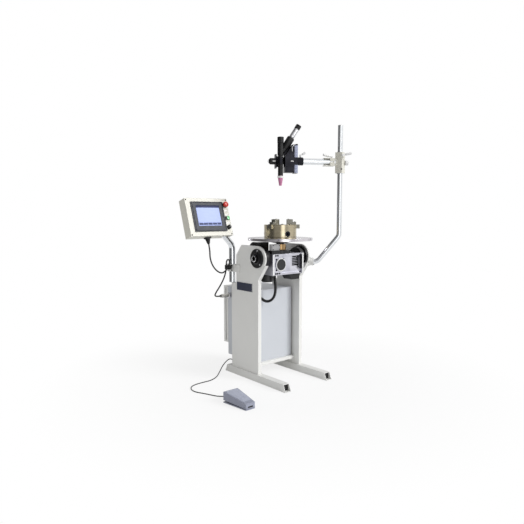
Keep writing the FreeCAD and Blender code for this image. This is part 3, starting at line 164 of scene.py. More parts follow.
def machinedMetal(name, values):
    # Bare metal off a machine: fine tool lines round an upright axis, or stretched along one axis
    material, tree, shader = newMaterial(name)
    point = objectPoint(tree)
    if "stretch" in values:
        place = addNode(tree, "ShaderNodeVectorMath", {0: point, 1: values["stretch"]},
                        operation="MULTIPLY").outputs["Vector"]
    else:
        flat = addNode(tree, "ShaderNodeVectorMath", {0: point, 1: (1, 1, 0)}, operation="MULTIPLY")
        reach = addNode(tree, "ShaderNodeVectorMath", {0: flat.outputs["Vector"]}, operation="LENGTH")
        height = addNode(tree, "ShaderNodeSeparateXYZ", {"Vector": point}).outputs["Z"]
        place = addNode(tree, "ShaderNodeCombineXYZ", {"X": reach.outputs["Value"],
                                                       "Y": height}).outputs["Vector"]
    grain = noise(tree, place, values["spacing"], metal["grainDetail"])
    cloud = noise(tree, point, metal["cloud"], metal["cloudDetail"])
    both = addNode(tree, "ShaderNodeMath", {0: grain, 1: cloud}, operation="MULTIPLY")
    ramp = addNode(tree, "ShaderNodeMapRange", {"Value": both.outputs["Value"], "From Min": metal["low"],
                                                "From Max": metal["high"]})
    tree.links.new(twoColours(tree, ramp.outputs["Result"], values["dark"], values["light"]),
                   shader.inputs["Base Color"])
    finishRoughness(tree, shader, grain, values["rough"], metal["spread"])
    finishNormal(tree, shader, grain, values["bump"], metal["depth"], values.get("edge", metal["edge"]))
    shader.inputs["Metallic"].default_value = 1.0
    return material


def mouldedPlastic(name, values):
    # Injection-moulded plastic: one colour through and through, a fine spark-eroded grain, soft corners
    material, tree, shader = newMaterial(name)
    point = objectPoint(tree)
    grain = addNode(tree, "ShaderNodeTexVoronoi", {"Vector": point, "Scale": 1 / mm(values["grain"])})
    cloud = noise(tree, point, plastic["cloud"], plastic["cloudDetail"])
    tree.links.new(twoColours(tree, cloud, values["dark"], values["light"]), shader.inputs["Base Color"])
    finishNormal(tree, shader, grain.outputs["Distance"], values["bump"], plastic["depth"], plastic["edge"])
    finishRoughness(tree, shader, cloud, values["rough"], plastic["spread"])
    shader.inputs["IOR"].default_value = values["ior"]
    if "glow" in values:
        shader.inputs["Emission Color"].default_value = toLinear(values["light"])
        shader.inputs["Emission Strength"].default_value = values["glow"]
    return material


paints = {
    # The pale edge colour of each paint is a painted highlight on its rounded edges
    "creamPowderCoat": {"dark": "#e1e1de", "light": "#e9e9e6", "edgeHighlight": "#fafafa", "cloud": 140, "peel": 1.6,
                        "bump": 0.12, "rough": 0.42, "edge": 3.5},
    # The cabinet's cool grey, darkened past its own colour as painted shade of its recess between the columns
    "coolShadedPowderCoat": {"dark": "#c2c6cc", "light": "#cacdd3", "edgeHighlight": "#eceef2", "cloud": 160, "peel": 1.6,
                       "bump": 0.1, "rough": 0.4, "edge": 2.5},
    "ivoryPowderCoat": {"dark": "#d6d4c9", "light": "#dedcd1", "edgeHighlight": "#f2f0e8", "cloud": 120, "peel": 1.6,
                        "bump": 0.1, "rough": 0.4, "edge": 2.5},
    "whiteEnamel": {"dark": "#e2e2e2", "light": "#ececec", "edgeHighlight": "#fbfbfb", "cloud": 60, "peel": 1.2,
                    "bump": 0.08, "rough": 0.3, "edge": 1.2},
    "blackEnamel": {"dark": "#0f0f11", "light": "#18181b", "edgeHighlight": "#3a3a40", "cloud": 60, "peel": 1.2,
                    "bump": 0.12, "rough": 0.38, "edge": 1.2},
}
# A metal with no stretch has lines turned round the upright axis
metals = {
    "turnedSteel": {"spacing": 1.6, "dark": "#bcb8bd", "light": "#e6e3e8", "rough": 0.24, "bump": 0.1,
                    "edge": 1.2},
    "bronzedChuckSteel": {"spacing": 1.8, "dark": "#a59a81", "light": "#cdc3ab", "rough": 0.15, "bump": 0.03,
                          "edge": 1.2},
    "jawSteel": {"stretch": (1, 1, 0.2), "spacing": 1.4, "dark": "#a09c8c", "light": "#cbc9c2", "rough": 0.2,
                 "bump": 0.05, "edge": 1.2},
    "drawnTube": {"stretch": (1, 1, 0.06), "spacing": 1.0, "dark": "#dadde0", "light": "#e6e8ea",
                  "rough": 0.2, "bump": 0.02},
    "castAluminium": {"stretch": (1, 1, 1), "spacing": 1.8, "dark": "#b3b3bd", "light": "#dadae2",
                      "rough": 0.34, "bump": 0.35, "edge": 1.5},
    "milledAluminium": {"stretch": (1, 1, 0.08), "spacing": 0.9, "dark": "#c9c7c2", "light": "#e6e4df",
                        "rough": 0.34, "bump": 0.08, "edge": 1.5},
    "turnedBrass": {"spacing": 1.0, "dark": "#947853", "light": "#b99c74", "rough": 0.26, "bump": 0.05},
    "blackOxideSteel": {"stretch": (1, 1, 0.3), "spacing": 1.2, "dark": "#1a1a1d", "light": "#34343a",
                        "rough": 0.34, "bump": 0.1},
    "brightScrew": {"stretch": (1, 1, 1), "spacing": 0.8, "dark": "#cfcfd2", "light": "#f2f2f4", "rough": 0.2,
                    "bump": 0.05},
}
plastics = {
    "blackNylon": {"dark": "#0a0a0c", "light": "#121214", "grain": 0.7, "bump": 0.2, "rough": 0.45,
                   "ior": 1.42},
    # A dead black with next to no gloss: the own black of screws and the bezel's lip, and painted shade on
    # the gearbox's dark sheets
    "matteBlackAndShade": {"dark": "#060607", "light": "#09090a", "grain": 0.7, "bump": 0.05, "rough": 0.8,
                  "ior": 1.15},
    "redAbs": {"dark": "#c2261d", "light": "#d4372a", "grain": 0.8, "bump": 0.05, "rough": 0.28, "ior": 1.54},
    "greenLens": {"dark": "#14a24c", "light": "#2cc46c", "grain": 0.8, "bump": 0.05, "rough": 0.2,
                  "ior": 1.54, "glow": 0.15},
    "whiteAbs": {"dark": "#e6e6e4", "light": "#f2f2f0", "grain": 0.8, "bump": 0.05, "rough": 0.35,
                 "ior": 1.54},
    "cablePvc": {"dark": "#0c0b0c", "light": "#151314", "grain": 0.9, "bump": 0.15, "rough": 0.4,
                 "ior": 1.53},
    "pedalGreyAbs": {"dark": "#8c90a1", "light": "#999dad", "grain": 1.4, "bump": 0.25, "rough": 0.45,
                     "ior": 1.53},
    # The treadle's grey made paler: painted highlight on the rib tops
    "pedalRibHighlightAbs": {"dark": "#b4b9c8", "light": "#c2c6d4", "grain": 1.4, "bump": 0.2, "rough": 0.4,
                    "ior": 1.53},
    "slateBezelAbs": {"dark": "#242730", "light": "#2e323c", "grain": 0.8, "bump": 0.08, "rough": 0.5,
                      "ior": 1.45},
    "navyPrint": {"dark": "#262b40", "light": "#2f354c", "grain": 0.8, "bump": 0.04, "rough": 0.35,
                  "ior": 1.5},
    "screenPage": {"dark": "#a3b0e0", "light": "#aebbea", "grain": 2.0, "bump": 0.0, "rough": 0.5, "ior": 1.3,
                   "glow": 0.3},
    "screenBar": {"dark": "#262c4e", "light": "#30375c", "grain": 2.0, "bump": 0.0, "rough": 0.5, "ior": 1.3,
                  "glow": 0.1},
    "screenKey": {"dark": "#3d4468", "light": "#495177", "grain": 2.0, "bump": 0.0, "rough": 0.5, "ior": 1.3,
                  "glow": 0.1},
    "pinkCeramic": {"dark": "#b86a93", "light": "#cf86ac", "grain": 1.2, "bump": 0.08, "rough": 0.3,
                    "ior": 1.6},
    "paleScale": {"dark": "#9aa0bb", "light": "#b9bfd4", "grain": 1.0, "bump": 0.05, "rough": 0.3,
                  "ior": 1.5},
}
finishes = {}
for make, table in ((powderCoat, paints), (machinedMetal, metals), (mouldedPlastic, plastics)):
    for name, values in table.items():
        finishes[name] = make(name, values)
print("materials made:", len(finishes))

finishOfNode = {
    "creamPowderCoat": "left_foot right_foot left_column right_column shelf rear_door post_clamp "
                       "mast_bracket",
    "coolShadedPowderCoat": "control_cabinet",
    "ivoryPowderCoat": "panel_enclosure mast_clamp",
    "whiteEnamel": "head_lever clamp_knob brush_holder mast_lever arm_lever",
    "blackEnamel": "left_bearing right_bearing left_trunnion right_trunnion drive_motor table_motor "
                   "neck_housing gearbox_cap table_hub",
    "turnedSteel": "table scroll",
    "bronzedChuckSteel": "chuck_body",
    "jawSteel": "jaw_1 jaw_2 jaw_3",
    "drawnTube": "panel_post torch_mast arm mast_sleeve",
    "castAluminium": "gearbox_housing",
    "milledAluminium": "cable_connector",
    "turnedBrass": "slip_ring",
    "blackOxideSteel": "arm_head slide_block torch_holder pinion_1 pinion_2 pinion_3",
    "blackNylon": "start_button cable_glands terminal_box selector_knob cross_knob torch_body back_cap "
                  "conduit",
    "cablePvc": "panel_cable pedal_cable",
    "redAbs": "stop_button",
    "pedalGreyAbs": "pedal_treadle pedal_base",
    "slateBezelAbs": "display",
    "navyPrint": "name_plate",
    "pinkCeramic": "torch_cup",
}
for finish, names in finishOfNode.items():
    for name in names.split():
        data = nodes[name].data
        data.materials.clear()
        data.materials.append(finishes[finish])
print("finishes on the nodes")


def bar(mesh, low, high, bevel=0.0):
    # A block between two corners, in mm, with every edge rounded off by bevel
    low, high = Vector([mm(c) for c in low]), Vector([mm(c) for c in high])
    made = bmesh.ops.create_cube(mesh, size=1.0, matrix=Matrix.Translation((low + high) / 2)
                                 @ Matrix.Diagonal((*(high - low), 1)))
    if bevel:
        edges = {edge for vertex in made["verts"] for edge in vertex.link_edges}
        bmesh.ops.bevel(mesh, geom=list(edges), offset=mm(bevel), segments=2, affect="EDGES", profile=0.6)


def axesOf(axis):
    axis = Vector(axis).normalized()
    side = axis.orthogonal().normalized()
    return axis, side, axis.cross(side)


def ringOf(mesh, centre, side, other, radii):
    # Points round a centre, one for each radius, in metres
    turns = [math.tau * i / len(radii) for i in range(len(radii))]
    return [mesh.verts.new(centre + (side * math.cos(turn) + other * math.sin(turn)) * radius)
            for turn, radius in zip(turns, radii)]


def skin(mesh, rings, sides):
    # Walls between rings, where a ring of one point is a tip, and a cap on each open end
    for before, after in zip(rings, rings[1:]):
        for i in range(sides):
            around = (before[i % len(before)], before[(i + 1) % len(before)],
                      after[(i + 1) % len(after)], after[i % len(after)])
            corners = list(dict.fromkeys(around))
            if len(corners) > 2:
                mesh.faces.new(corners)
    if len(rings[0]) > 2:
        mesh.faces.new(list(reversed(rings[0])))
    if len(rings[-1]) > 2:
        mesh.faces.new(rings[-1])


def turned(mesh, start, axis, profile, sides):
    # A turned piece: profile is (distance along the axis, radius) in mm, closed at both ends
    axis, side, other = axesOf(axis)
    start = Vector([mm(c) for c in start])
    rings = [ringOf(mesh, start + axis * mm(along), side, other, [mm(radius)] * (sides if radius else 1))
             for along, radius in profile]
    skin(mesh, rings, sides)


def knurled(mesh, start, axis, length, radius, depth, count, chamfer):
    # A grip ring: a drum whose rim goes in and out count times, with chamfered ends
    axis, side, other = axesOf(axis)
    start = Vector([mm(c) for c in start])
    rings = []
    for along, inset in ((0, chamfer), (chamfer, 0), (length - chamfer, 0), (length, chamfer)):
        radii = [mm(radius - inset - (depth if i % 4 >= 2 else 0)) for i in range(4 * count)]
        rings.append(ringOf(mesh, start + axis * mm(along), side, other, radii))
    skin(mesh, rings, 4 * count)


def socketScrew(mesh, place, axis, head, height):
    # Cap screw: round head with a rounded rim and a hollow for the key
    turned(mesh, place, axis, [(0, head), (height * 0.75, head), (height, head * 0.85), (height, head * 0.5),
                               (height * 0.4, head * 0.45), (height * 0.4, 0)], 20)


def addRoute(curve, route):
    spline = curve.splines.new("NURBS")
    spline.points.add(len(route) - 1)
    for target, point in zip(spline.points, route):
        target.co = (*[mm(c) for c in point], 1)
    spline.order_u = 3
    spline.use_endpoint_u = True


def lineOf(route):
    # Points along the smooth line that a route's NURBS spline draws
    curve = bpy.data.curves.new("line", "CURVE")
    curve.dimensions = "3D"
    curve.resolution_u = 16
    addRoute(curve, route)
    holder = bpy.data.objects.new("line", curve)
    drawn = bpy.data.meshes.new_from_object(holder)
    points = [vertex.co.copy() for vertex in drawn.vertices]
    bpy.data.objects.remove(holder)
    bpy.data.meshes.remove(drawn)
    bpy.data.curves.remove(curve)
    return points


def ribbedTube(mesh, route, low, high, ribs, sides=20, stepsPerRib=6):
    # A corrugated tube along a route, its radius in mm going from low to high and back once a rib
    path = lineOf(route)
    reach = [0]
    for a, b in zip(path, path[1:]):
        reach.append(reach[-1] + (b - a).length)
    steps, side, rings = ribs * stepsPerRib, None, []
    for step in range(steps + 1):
        target = reach[-1] * step / steps
        k = min(max(i for i, value in enumerate(reach) if value <= target), len(path) - 2)
        centre = path[k].lerp(path[k + 1], (target - reach[k]) / max(reach[k + 1] - reach[k], 1e-9))
        tangent = (path[min(k + 2, len(path) - 1)] - path[max(k - 1, 0)]).normalized()
        side = (side - tangent * side.dot(tangent) if side else tangent.orthogonal()).normalized()
        wave = 0.5 + 0.5 * math.cos(math.tau * step / stepsPerRib)
        rings.append(ringOf(mesh, centre, side, tangent.cross(side), [mm(low + (high - low) * wave)] * sides))
    skin(mesh, rings, sides)


surfaces = {}


def touch(name, start, direction, place=None):
    # Where a line from start meets a node's surface, in mm, in the frame that start is given in
    place = place or Matrix()
    if name not in surfaces:
        data = nodes[name].data
        surfaces[name] = BVHTree.FromPolygons([v.co for v in data.vertices],
                                              [p.vertices for p in data.polygons])
    fromPoint = place @ Vector([mm(c) for c in start])
    hit = surfaces[name].ray_cast(fromPoint, place.to_3x3() @ Vector(direction))[0]
    if hit is None:
        raise RuntimeError(f"no surface of {name} under the line from {tuple(start)}")
    return tuple(1000 * c for c in place.inverted() @ hit)


def addPiece(name, draw, finish, body, place=None, replaced=(), blend=None):
    # One piece of the looks: draw fills a new mesh, in mm, in the frame of place
    mesh = bmesh.new()
    draw(mesh)
    bmesh.ops.recalc_face_normals(mesh, faces=mesh.faces)
    data = bpy.data.meshes.new(name)
    mesh.to_mesh(data)
    mesh.free()
    if place:
        data.transform(place)
    data.materials.append(finishes[finish])
    piece = bpy.data.objects.new(name, data)
    bpy.context.scene.collection.objects.link(piece)
    data.shade_smooth()
    data.set_sharp_from_angle(angle=math.radians(35))
    if blend:
        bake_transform(piece)
    else:
        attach(piece, body)
    if replaced:
        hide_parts(*replaced)


def blocks(corners, bevel=0.0):
    return lambda mesh: [bar(mesh, low, high, bevel) for low, high in corners]


def lathed(starts, axis, profile, sides=48):
    return lambda mesh: [turned(mesh, start, axis, profile, sides) for start in starts]


def gripRing(axis, grip):
    return lambda mesh: knurled(mesh, grip["start"], axis, grip["long"], grip["radius"], grip["depth"],
                                grip["count"], grip["chamfer"])


def span(x, y, z):
    # The two corners of a block that lies between two values on each axis
    return tuple(zip(x, y, z))


def borderOf(low, high, wide):
    # The four strips round a flat rectangle, each between two corners
    return [(low, (high[0], low[1] + wide)), ((low[0], high[1] - wide), high),
            (low, (low[0] + wide, high[1])), ((high[0] - wide, low[1]), high)]


def screwsOn(name, node, spots, direction, finish, body, size, place=None):
    # Cap screws (head radius, height) standing where lines from the spots meet a node's surface
    outward = tuple(-c for c in direction)
    starts = [touch(node, spot, direction, place) for spot in spots]
    addPiece(name, lambda mesh: [socketScrew(mesh, start, outward, *size) for start in starts], finish, body,
             place)


panelLead = {"radius": 4.5, "length": 0.645, "route": [
    (-364, 250, 841), (-364, 237.6, 803), (-363, 240, 760), (-345, 244, 712), (-310, 247, 672),
    (-268, 249, 652), (-235, 250, 668), (-216, 245, 698), (-211, 243, 721), (-210, 249, 735),
    (-210, 267, 736), (-211, 277, 722), (-214, 275, 697), (-221, 271, 655), (-238, 271, 612),
    (-262, 280, 566), (-283, 291, 530), (-291, 297, 508), (-271, 300, 500), (-247, 300, 500)]}
pedalLead = {"radius": 3.0, "length": 0.83, "route": [
    (-172.5, 273, 78), (-172.5, 300, 78), (-184, 324, 56), (-204, 335, 29), (-232, 321, 8),
    (-266, 290, 3), (-328, 228, 3), (-393, 194, 3), (-448, 195, 3), (-500, 193, 3),
    (-540, 181, 3), (-569, 152, 3), (-584, 112, 3), (-580, 70, 3), (-558, 24, 3),
    (-541, -22, 3), (-528, -66, 4.5), (-505, -112, 12), (-505, -139, 12)]}


def makeCord(name, node, values):
    curve = bpy.data.curves.new(name, "CURVE")
    curve.dimensions = "3D"
    curve.bevel_depth = mm(values["radius"])
    curve.bevel_resolution = 6
    curve.resolution_u = 8
    curve.use_fill_caps = True
    addRoute(curve, values["route"])
    curve.materials.append(finishes["cablePvc"])
    piece = bpy.data.objects.new(name, curve)
    bpy.context.scene.collection.objects.link(piece)
    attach(piece, "frame")
    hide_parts(node)


makeCord("panelLead", "panel_cable", panelLead)
makeCord("pedalLead", "pedal_cable", pedalLead)
print("cords laid")

tiltConduit = {"outer": 9.0, "inner": 7.4, "ribs": 60, "route": [
    (-76, -35, 654.7), (-76, -35, 625), (-67, -32, 592), (-61, -26, 557), (-63, -20, 524), (-75, -13, 501),
    (-95, -4, 489), (-117, 5, 491), (-134, 13, 503.5), (-147, 19.3, 516)]}


def makeConduit(values):
    # Corrugated nylon conduit between the tilting head and the left column
    top, foot = [tuple(mm(c) for c in values["route"][i]) for i in (0, -1)]
    addPiece("tiltConduit", lambda mesh: ribbedTube(mesh, values["route"], values["inner"], values["outer"],
                                                    values["ribs"]),
             "blackNylon", None, replaced=["conduit"], blend=("frame", "tilt_head", foot, top))


makeConduit(tiltConduit)
print("conduit laid")

panel = {"place": (-346, 267, 1006), "lean": -18, "screwX": 147, "screwZ": 111, "screwFrom": -40,
         "screw": (4, 1.6), "lipLow": (-113, -89), "lipHigh": (108, 93), "lipWide": 2, "lipY": (-5.8, -4.9)}
screen = {"x": (-87, 82), "z": (-56.5, 72.5), "pageY": (-3.6, -3.05), "barY": (-4, -3.6),
          "keyY": (-4.2, -3.6), "barTall": 14, "keys": 5, "keyInset": 4, "keyGap": 3, "keyRise": 5}
controls = {"x": 133, "stopZ": 78, "domeY": -16.5, "collarY": 0.2,
            "dome": [(0, 17), (1.5, 17.6), (4, 17), (6.5, 14), (8.2, 9), (9, 0)],
            "collar": [(0, 18), (2, 18), (3, 16.5), (3, 11.6), (0, 11.6)],
            "lensX": (-4.5, 13), "lensY": (-10, -6.8), "lensZ": (-19.5, 1.5),
            "lineX": (-1, 1), "lineY": (-20.6, -19.9), "lineZ": (-68, -56),
            "plateX": (-13, 13), "plateY": (-0.7, 0.1), "plateTall": 9, "plateZ": (36, 8, -45)}
panelGland = {"x": -18, "y": 35, "z": -131, "ribs": 5, "pitch": 6, "radius": 15.2, "taper": 1.5}
panelPlace = (Matrix.Translation([mm(c) for c in panel["place"]])
              @ Matrix.Rotation(math.radians(panel["lean"]), 4, "X"))


def dressPanel():
    # Screws, bezel lip, screen, stop dome and collar, start lens, selector line, blank labels, gland ribs
    spots = [(i * panel["screwX"], panel["screwFrom"], j * panel["screwZ"])
             for i in (-1, 1) for j in (-1, 1)]
    screwsOn("panelScrews", "panel_enclosure", spots, (0, 1, 0), "matteBlackAndShade", "frame", panel["screw"],
             panelPlace)
    strips = borderOf(panel["lipLow"], panel["lipHigh"], panel["lipWide"])
    lip = [span((low[0], high[0]), panel["lipY"], (low[1], high[1])) for low, high in strips]
    addPiece("bezelLip", blocks(lip, 0.3), "matteBlackAndShade", "frame", panelPlace)

    low, high = screen["z"]
    addPiece("screenPage", blocks([span(screen["x"], screen["pageY"], screen["z"])], 0.2), "screenPage",
             "frame", panelPlace)
    addPiece("screenBar", blocks([span(screen["x"], screen["barY"], (high - screen["barTall"], high))], 0.15),
             "screenBar", "frame", panelPlace)
    left, right = screen["x"]
    pitch = (right - left - screen["keyInset"]) / screen["keys"]
    starts = [left + screen["keyGap"] + i * pitch for i in range(screen["keys"])]
    keyZ = [low + screen["keyRise"] + tall for tall in (0, screen["barTall"])]
    keys = [span((start, start + pitch - screen["keyGap"]), screen["keyY"], keyZ) for start in starts]
    addPiece("screenKeys", blocks(keys, 0.3), "screenKey", "frame", panelPlace)

    x, z, outward = controls["x"], controls["stopZ"], (0, -1, 0)
    lensX, lineX, plateX = [[x + c for c in controls[name]] for name in ("lensX", "lineX", "plateX")]
    addPiece("stopDome", lathed([(x, controls["domeY"], z)], outward, controls["dome"]), "redAbs",
             "stop_button", panelPlace)
    addPiece("stopCollar", lathed([(x, controls["collarY"], z)], outward, controls["collar"]), "blackNylon",
             "frame", panelPlace)
    addPiece("startLens", blocks([span(lensX, controls["lensY"], controls["lensZ"])], 1.2), "greenLens",
             "start_button", panelPlace)
    addPiece("selectorLine", blocks([span(lineX, controls["lineY"], controls["lineZ"])], 0.3), "whiteAbs",
             "selector", panelPlace)
    plates = [span(plateX, controls["plateY"], (low, low + controls["plateTall"]))
              for low in controls["plateZ"]]
    addPiece("controlPlates", blocks(plates, 0.4), "whiteAbs", "frame", panelPlace)

    def ribs(mesh):
        for i in range(panelGland["ribs"]):
            radius = panelGland["radius"] - panelGland["taper"] * i
            start = (panelGland["x"], panelGland["y"], panelGland["z"] - panelGland["pitch"] * i)
            turned(mesh, start, (0, 0, -1),
                   [(0, radius), (0.6, radius + 0.8), (2.6, radius + 0.4), (3.2, radius - 0.6)], 32)
    addPiece("panelGlandRibs", ribs, "blackNylon", "frame", panelPlace)


bearing = {"tiltZ": 758, "boltTurns": (104, 224, 344), "boltReach": 49, "boltFrom": 260,
           "bolt": [(0, 5.4), (3.4, 5.4), (4.4, 4.4), (4.4, 2.4), (2, 2.2), (2, 0)],
           "ringX": 193.2, "ring": [(0, 34), (4, 34), (6, 31), (6, 26), (0, 26)],
           "rimX": 213.1, "rim": [(0, 19.4), (0.8, 19.4), (1.4, 18.4), (1.4, 15.6), (0, 15)]}
foot = {"x": 172.5, "beadX": (12.9, -12.9), "beadY": -8, "beadZ": 45.4, "beads": 53, "beadPitch": 5,
        "beadEnd": 265, "endShadeHalf": 19.4, "endShadeY": (-240, -238), "endShadeZ": (3.1, 41.9)}
namePlate = {"x": (-186.5, -185.9), "low": (46, 546), "high": (204, 602), "wide": 2.5}
postClamp = {"x": -172.5, "y": 267, "z": (667, 697), "facing": (0.644, 0.765, 0), "from": 60,
             "screw": (4.6, 4)}
mastBracket = {"from": 300, "spots": [(-40, 703), (-62, 705), (-62, 748)], "screw": (6, 5)}


def dressColumns():
    # Bearing bolts and hub rings, weld beads, black sheets as painted shade in the open tube ends, the
    # plate's border, clamp and bracket screws
    for side, name in ((-1, "left"), (1, "right")):
        axis, z = (side, 0, 0), bearing["tiltZ"]
        spots = [(side * bearing["boltFrom"], bearing["boltReach"] * math.cos(math.radians(turn)),
                  z + bearing["boltReach"] * math.sin(math.radians(turn))) for turn in bearing["boltTurns"]]
        starts = [touch(name + "_bearing", spot, (-side, 0, 0)) for spot in spots]
        addPiece(name + "BearingBolts", lathed(starts, axis, bearing["bolt"], 24), "brightScrew", "frame")
        addPiece(name + "BearingRing", lathed([(side * bearing["ringX"], 0, z)], axis, bearing["ring"]),
                 "blackEnamel", "frame")
        addPiece(name + "HubRim", lathed([(side * bearing["rimX"], 0, z)], axis, bearing["rim"]),
                 "brightScrew", "tilt_head")

        waves = [(2 + foot["beadPitch"] * i, 2.2 + 0.5 * (i % 2)) for i in range(foot["beads"])]
        starts = [(side * (foot["x"] + x), foot["beadY"], foot["beadZ"]) for x in foot["beadX"]]
        addPiece(name + "FootWelds", lathed(starts, (0, 1, 0), [(0, 0.5), *waves, (foot["beadEnd"], 0.5)], 8),
                 "creamPowderCoat", "frame")
        # Painted shade: a black sheet just inside each foot's open tube end
        middle, half = side * foot["x"], foot["endShadeHalf"]
        addPiece(name + "FootEndShade", blocks([span((middle - half, middle + half), foot["endShadeY"],
                                                  foot["endShadeZ"])]), "blackNylon", "frame")

    strips = borderOf(namePlate["low"], namePlate["high"], namePlate["wide"])
    border = [span(namePlate["x"], (low[0], high[0]), (low[1], high[1])) for low, high in strips]
    addPiece("plateBorder", blocks(border, 0.15), "whiteAbs", "frame")
    x, y = [postClamp[way] - postClamp["from"] * c for way, c in zip("xy", postClamp["facing"])]
    screwsOn("clampScrews", "post_clamp", [(x, y, z) for z in postClamp["z"]], postClamp["facing"],
             "blackOxideSteel", "frame", postClamp["screw"])
    screwsOn("bracketScrews", "mast_bracket", [(mastBracket["from"], y, z) for y, z in mastBracket["spots"]],
             (-1, 0, 0), "blackOxideSteel", "frame", mastBracket["screw"])


connector = {"y": 300, "z": 500, "bootX": -246, "rings": 4, "pitch": 7, "radius": 7.4, "flare": 0.9}
connectorGrip = {"start": (-181, 300, 500), "long": 22, "radius": 16.4, "depth": 1, "count": 22,
                 "chamfer": 1.5}
pedalNut = {"start": (-172.5, 257.2, 78), "long": 5.6, "radius": 9.8, "depth": 0.6, "count": 12,
            "chamfer": 0.6}
door = {"x": (-136, 136), "z": (190, 536), "from": 460, "screw": (4, 2.5)}


def dressCabinet():
    # Connector's grip ring and boot, gland of the pedal's lead, screws of the cabinet's rear door
    addPiece("connectorRing", gripRing((1, 0, 0), connectorGrip), "brightScrew", "frame")

    def boot(mesh):
        for i in range(connector["rings"]):
            radius = connector["radius"] + connector["flare"] * i
            start = (connector["bootX"] + connector["pitch"] * i, connector["y"], connector["z"])
            turned(mesh, start, (1, 0, 0),
                   [(0, radius), (1, radius + 1.2), (4, radius + 1.4), (5, radius + 0.4)], 32)
    addPiece("connectorBoot", boot, "blackNylon", "frame")
    addPiece("pedalGlandNut", gripRing((0, 1, 0), pedalNut), "blackNylon", "frame")
    screwsOn("doorScrews", "rear_door", [(x, door["from"], z) for x in door["x"] for z in door["z"]],
             (0, -1, 0), "blackOxideSteel", "door", door["screw"])


pedal = {"rear": (-505, -155, 61), "drop": 25, "run": 175, "ribs": 15, "first": 12, "pitch": 9.5,
         "rearHalf": 43.3, "narrowing": 19 / 176, "ribHalf": 2.4, "ribZ": (0.2, 2), "slotX": (-522, -488),
         "slotY": (-330.4, -329.6), "slotZ": (12, 20)}


def dressPedal():
    # Treadle: rib tops on the slope painted paler than the treadle as a highlight, and a black sheet as
    # painted shade in the toe's slot
    slope = (Matrix.Translation([mm(c) for c in pedal["rear"]])
             @ Matrix.Rotation(math.atan2(pedal["drop"], pedal["run"]), 4, "X"))
    ribs = []
    for i in range(pedal["ribs"]):
        along = pedal["first"] + pedal["pitch"] * i
        half = pedal["rearHalf"] - pedal["narrowing"] * along
        ribs.append(span((-half, half), (-along - pedal["ribHalf"], -along + pedal["ribHalf"]),
                         pedal["ribZ"]))
    addPiece("treadRibs", blocks(ribs, 0.5), "pedalRibHighlightAbs", "treadle", slope)
    # Painted shade: a thin black sheet stands for the dark inside of the toe's slot
    addPiece("toeSlotShade", blocks([span(pedal["slotX"], pedal["slotY"], pedal["slotZ"])], 0.3), "blackNylon",
             "treadle")


gearbox = {"flangeX": {"left": (-126, -114), "right": (118, 129)}, "flangeY": (-75.9, -74.8),
           "flangeZ": (656, 782), "shade": span((101, 117), (-75.6, -74.9), (684, 772)), "coverX": -60,
           "coverY": -74.8, "coverZ": 719, "ring": [(0, 40), (1.4, 40), (2, 39), (2, 34.5), (0, 33.3)],
           "coverScrewX": (-33, 33), "coverScrewZ": (-32, 32), "screwFrom": -140, "screw": (5.4, 2.4),
           "rimScrews": [(-98, 665), (-84, 665), (-68, 665), (-98, 774), (-82, 774), (105, 774), (105, 664)]}
# Black sheets behind the fins and across their gaps: painted shade
fins = {"x": (45.2, 97.8), "backY": (-39, -38.1), "backZ": (705.4, 764.6), "gapY": (-59, -57), "gapZ": 706.6,
        "gapTall": 6.8, "pitch": 10, "gapShades": 6}
terminal = {"x": (56, 98), "y": (-50, 5), "from": 560, "screw": (3.4, 2)}
brush = {"from": -90, "spots": [(-96, 810), (-96, 834), (-46, 834), (-46, 810)], "screw": (3, 2)}


def dressHead():
    # Gearbox: pale end flanges, ring and screws round the black cover, black sheets as painted shade behind
    # the fins, beside the right flange and across the fins' gaps, and the screws of the terminal box and the
    # brush holder
    for side, x in gearbox["flangeX"].items():
        addPiece(side + "FlangeFace", blocks([span(x, gearbox["flangeY"], gearbox["flangeZ"])], 0.4),
                 "whiteEnamel", "tilt_head")
    x, z = gearbox["coverX"], gearbox["coverZ"]
    addPiece("coverRing", lathed([(x, gearbox["coverY"], z)], (0, -1, 0), gearbox["ring"], 64), "whiteEnamel",
             "tilt_head")
    spots = [(x + i, z + j) for i in gearbox["coverScrewX"] for j in gearbox["coverScrewZ"]]
    screwsOn("gearboxScrews", "gearbox_housing",
             [(i, gearbox["screwFrom"], j) for i, j in spots + gearbox["rimScrews"]], (0, 1, 0), "matteBlackAndShade",
             "tilt_head", gearbox["screw"])
    # Painted shade: dark sheets in the fin window, beside the right flange and across the fins' gaps
    addPiece("finShade", blocks([span(fins["x"], fins["backY"], fins["backZ"])], 0.2), "matteBlackAndShade",
             "tilt_head")
    addPiece("flangeShade", blocks([gearbox["shade"]], 0.2), "matteBlackAndShade", "tilt_head")
    lows = [fins["gapZ"] + fins["pitch"] * i for i in range(fins["gapShades"])]
    gapShades = [span(fins["x"], fins["gapY"], (low, low + fins["gapTall"])) for low in lows]
    addPiece("finGapShade", blocks(gapShades, 0.2), "matteBlackAndShade", "tilt_head")
    spots = [(x, y, terminal["from"]) for x in terminal["x"] for y in terminal["y"]]
    screwsOn("terminalScrews", "terminal_box", spots, (0, 0, 1), "brightScrew", "tilt_head",
             terminal["screw"])
    screwsOn("brushScrews", "brush_holder", [(x, brush["from"], z) for x, z in brush["spots"]], (0, 1, 0),
             "blackOxideSteel", "tilt_head", brush["screw"])


chuck = {"firstJaw": 75, "jaws": 3, "screwReach": 72, "screwSpread": 22, "from": 1050, "faceScrew": (6, 2.5),
         "jawScrewReach": (50, 88), "jawScrew": (5, 2), "bandZ": 884,
         "band": [(0, 99.9), (0.6, 100.4), (1.8, 100.4), (2.4, 99.9)]}


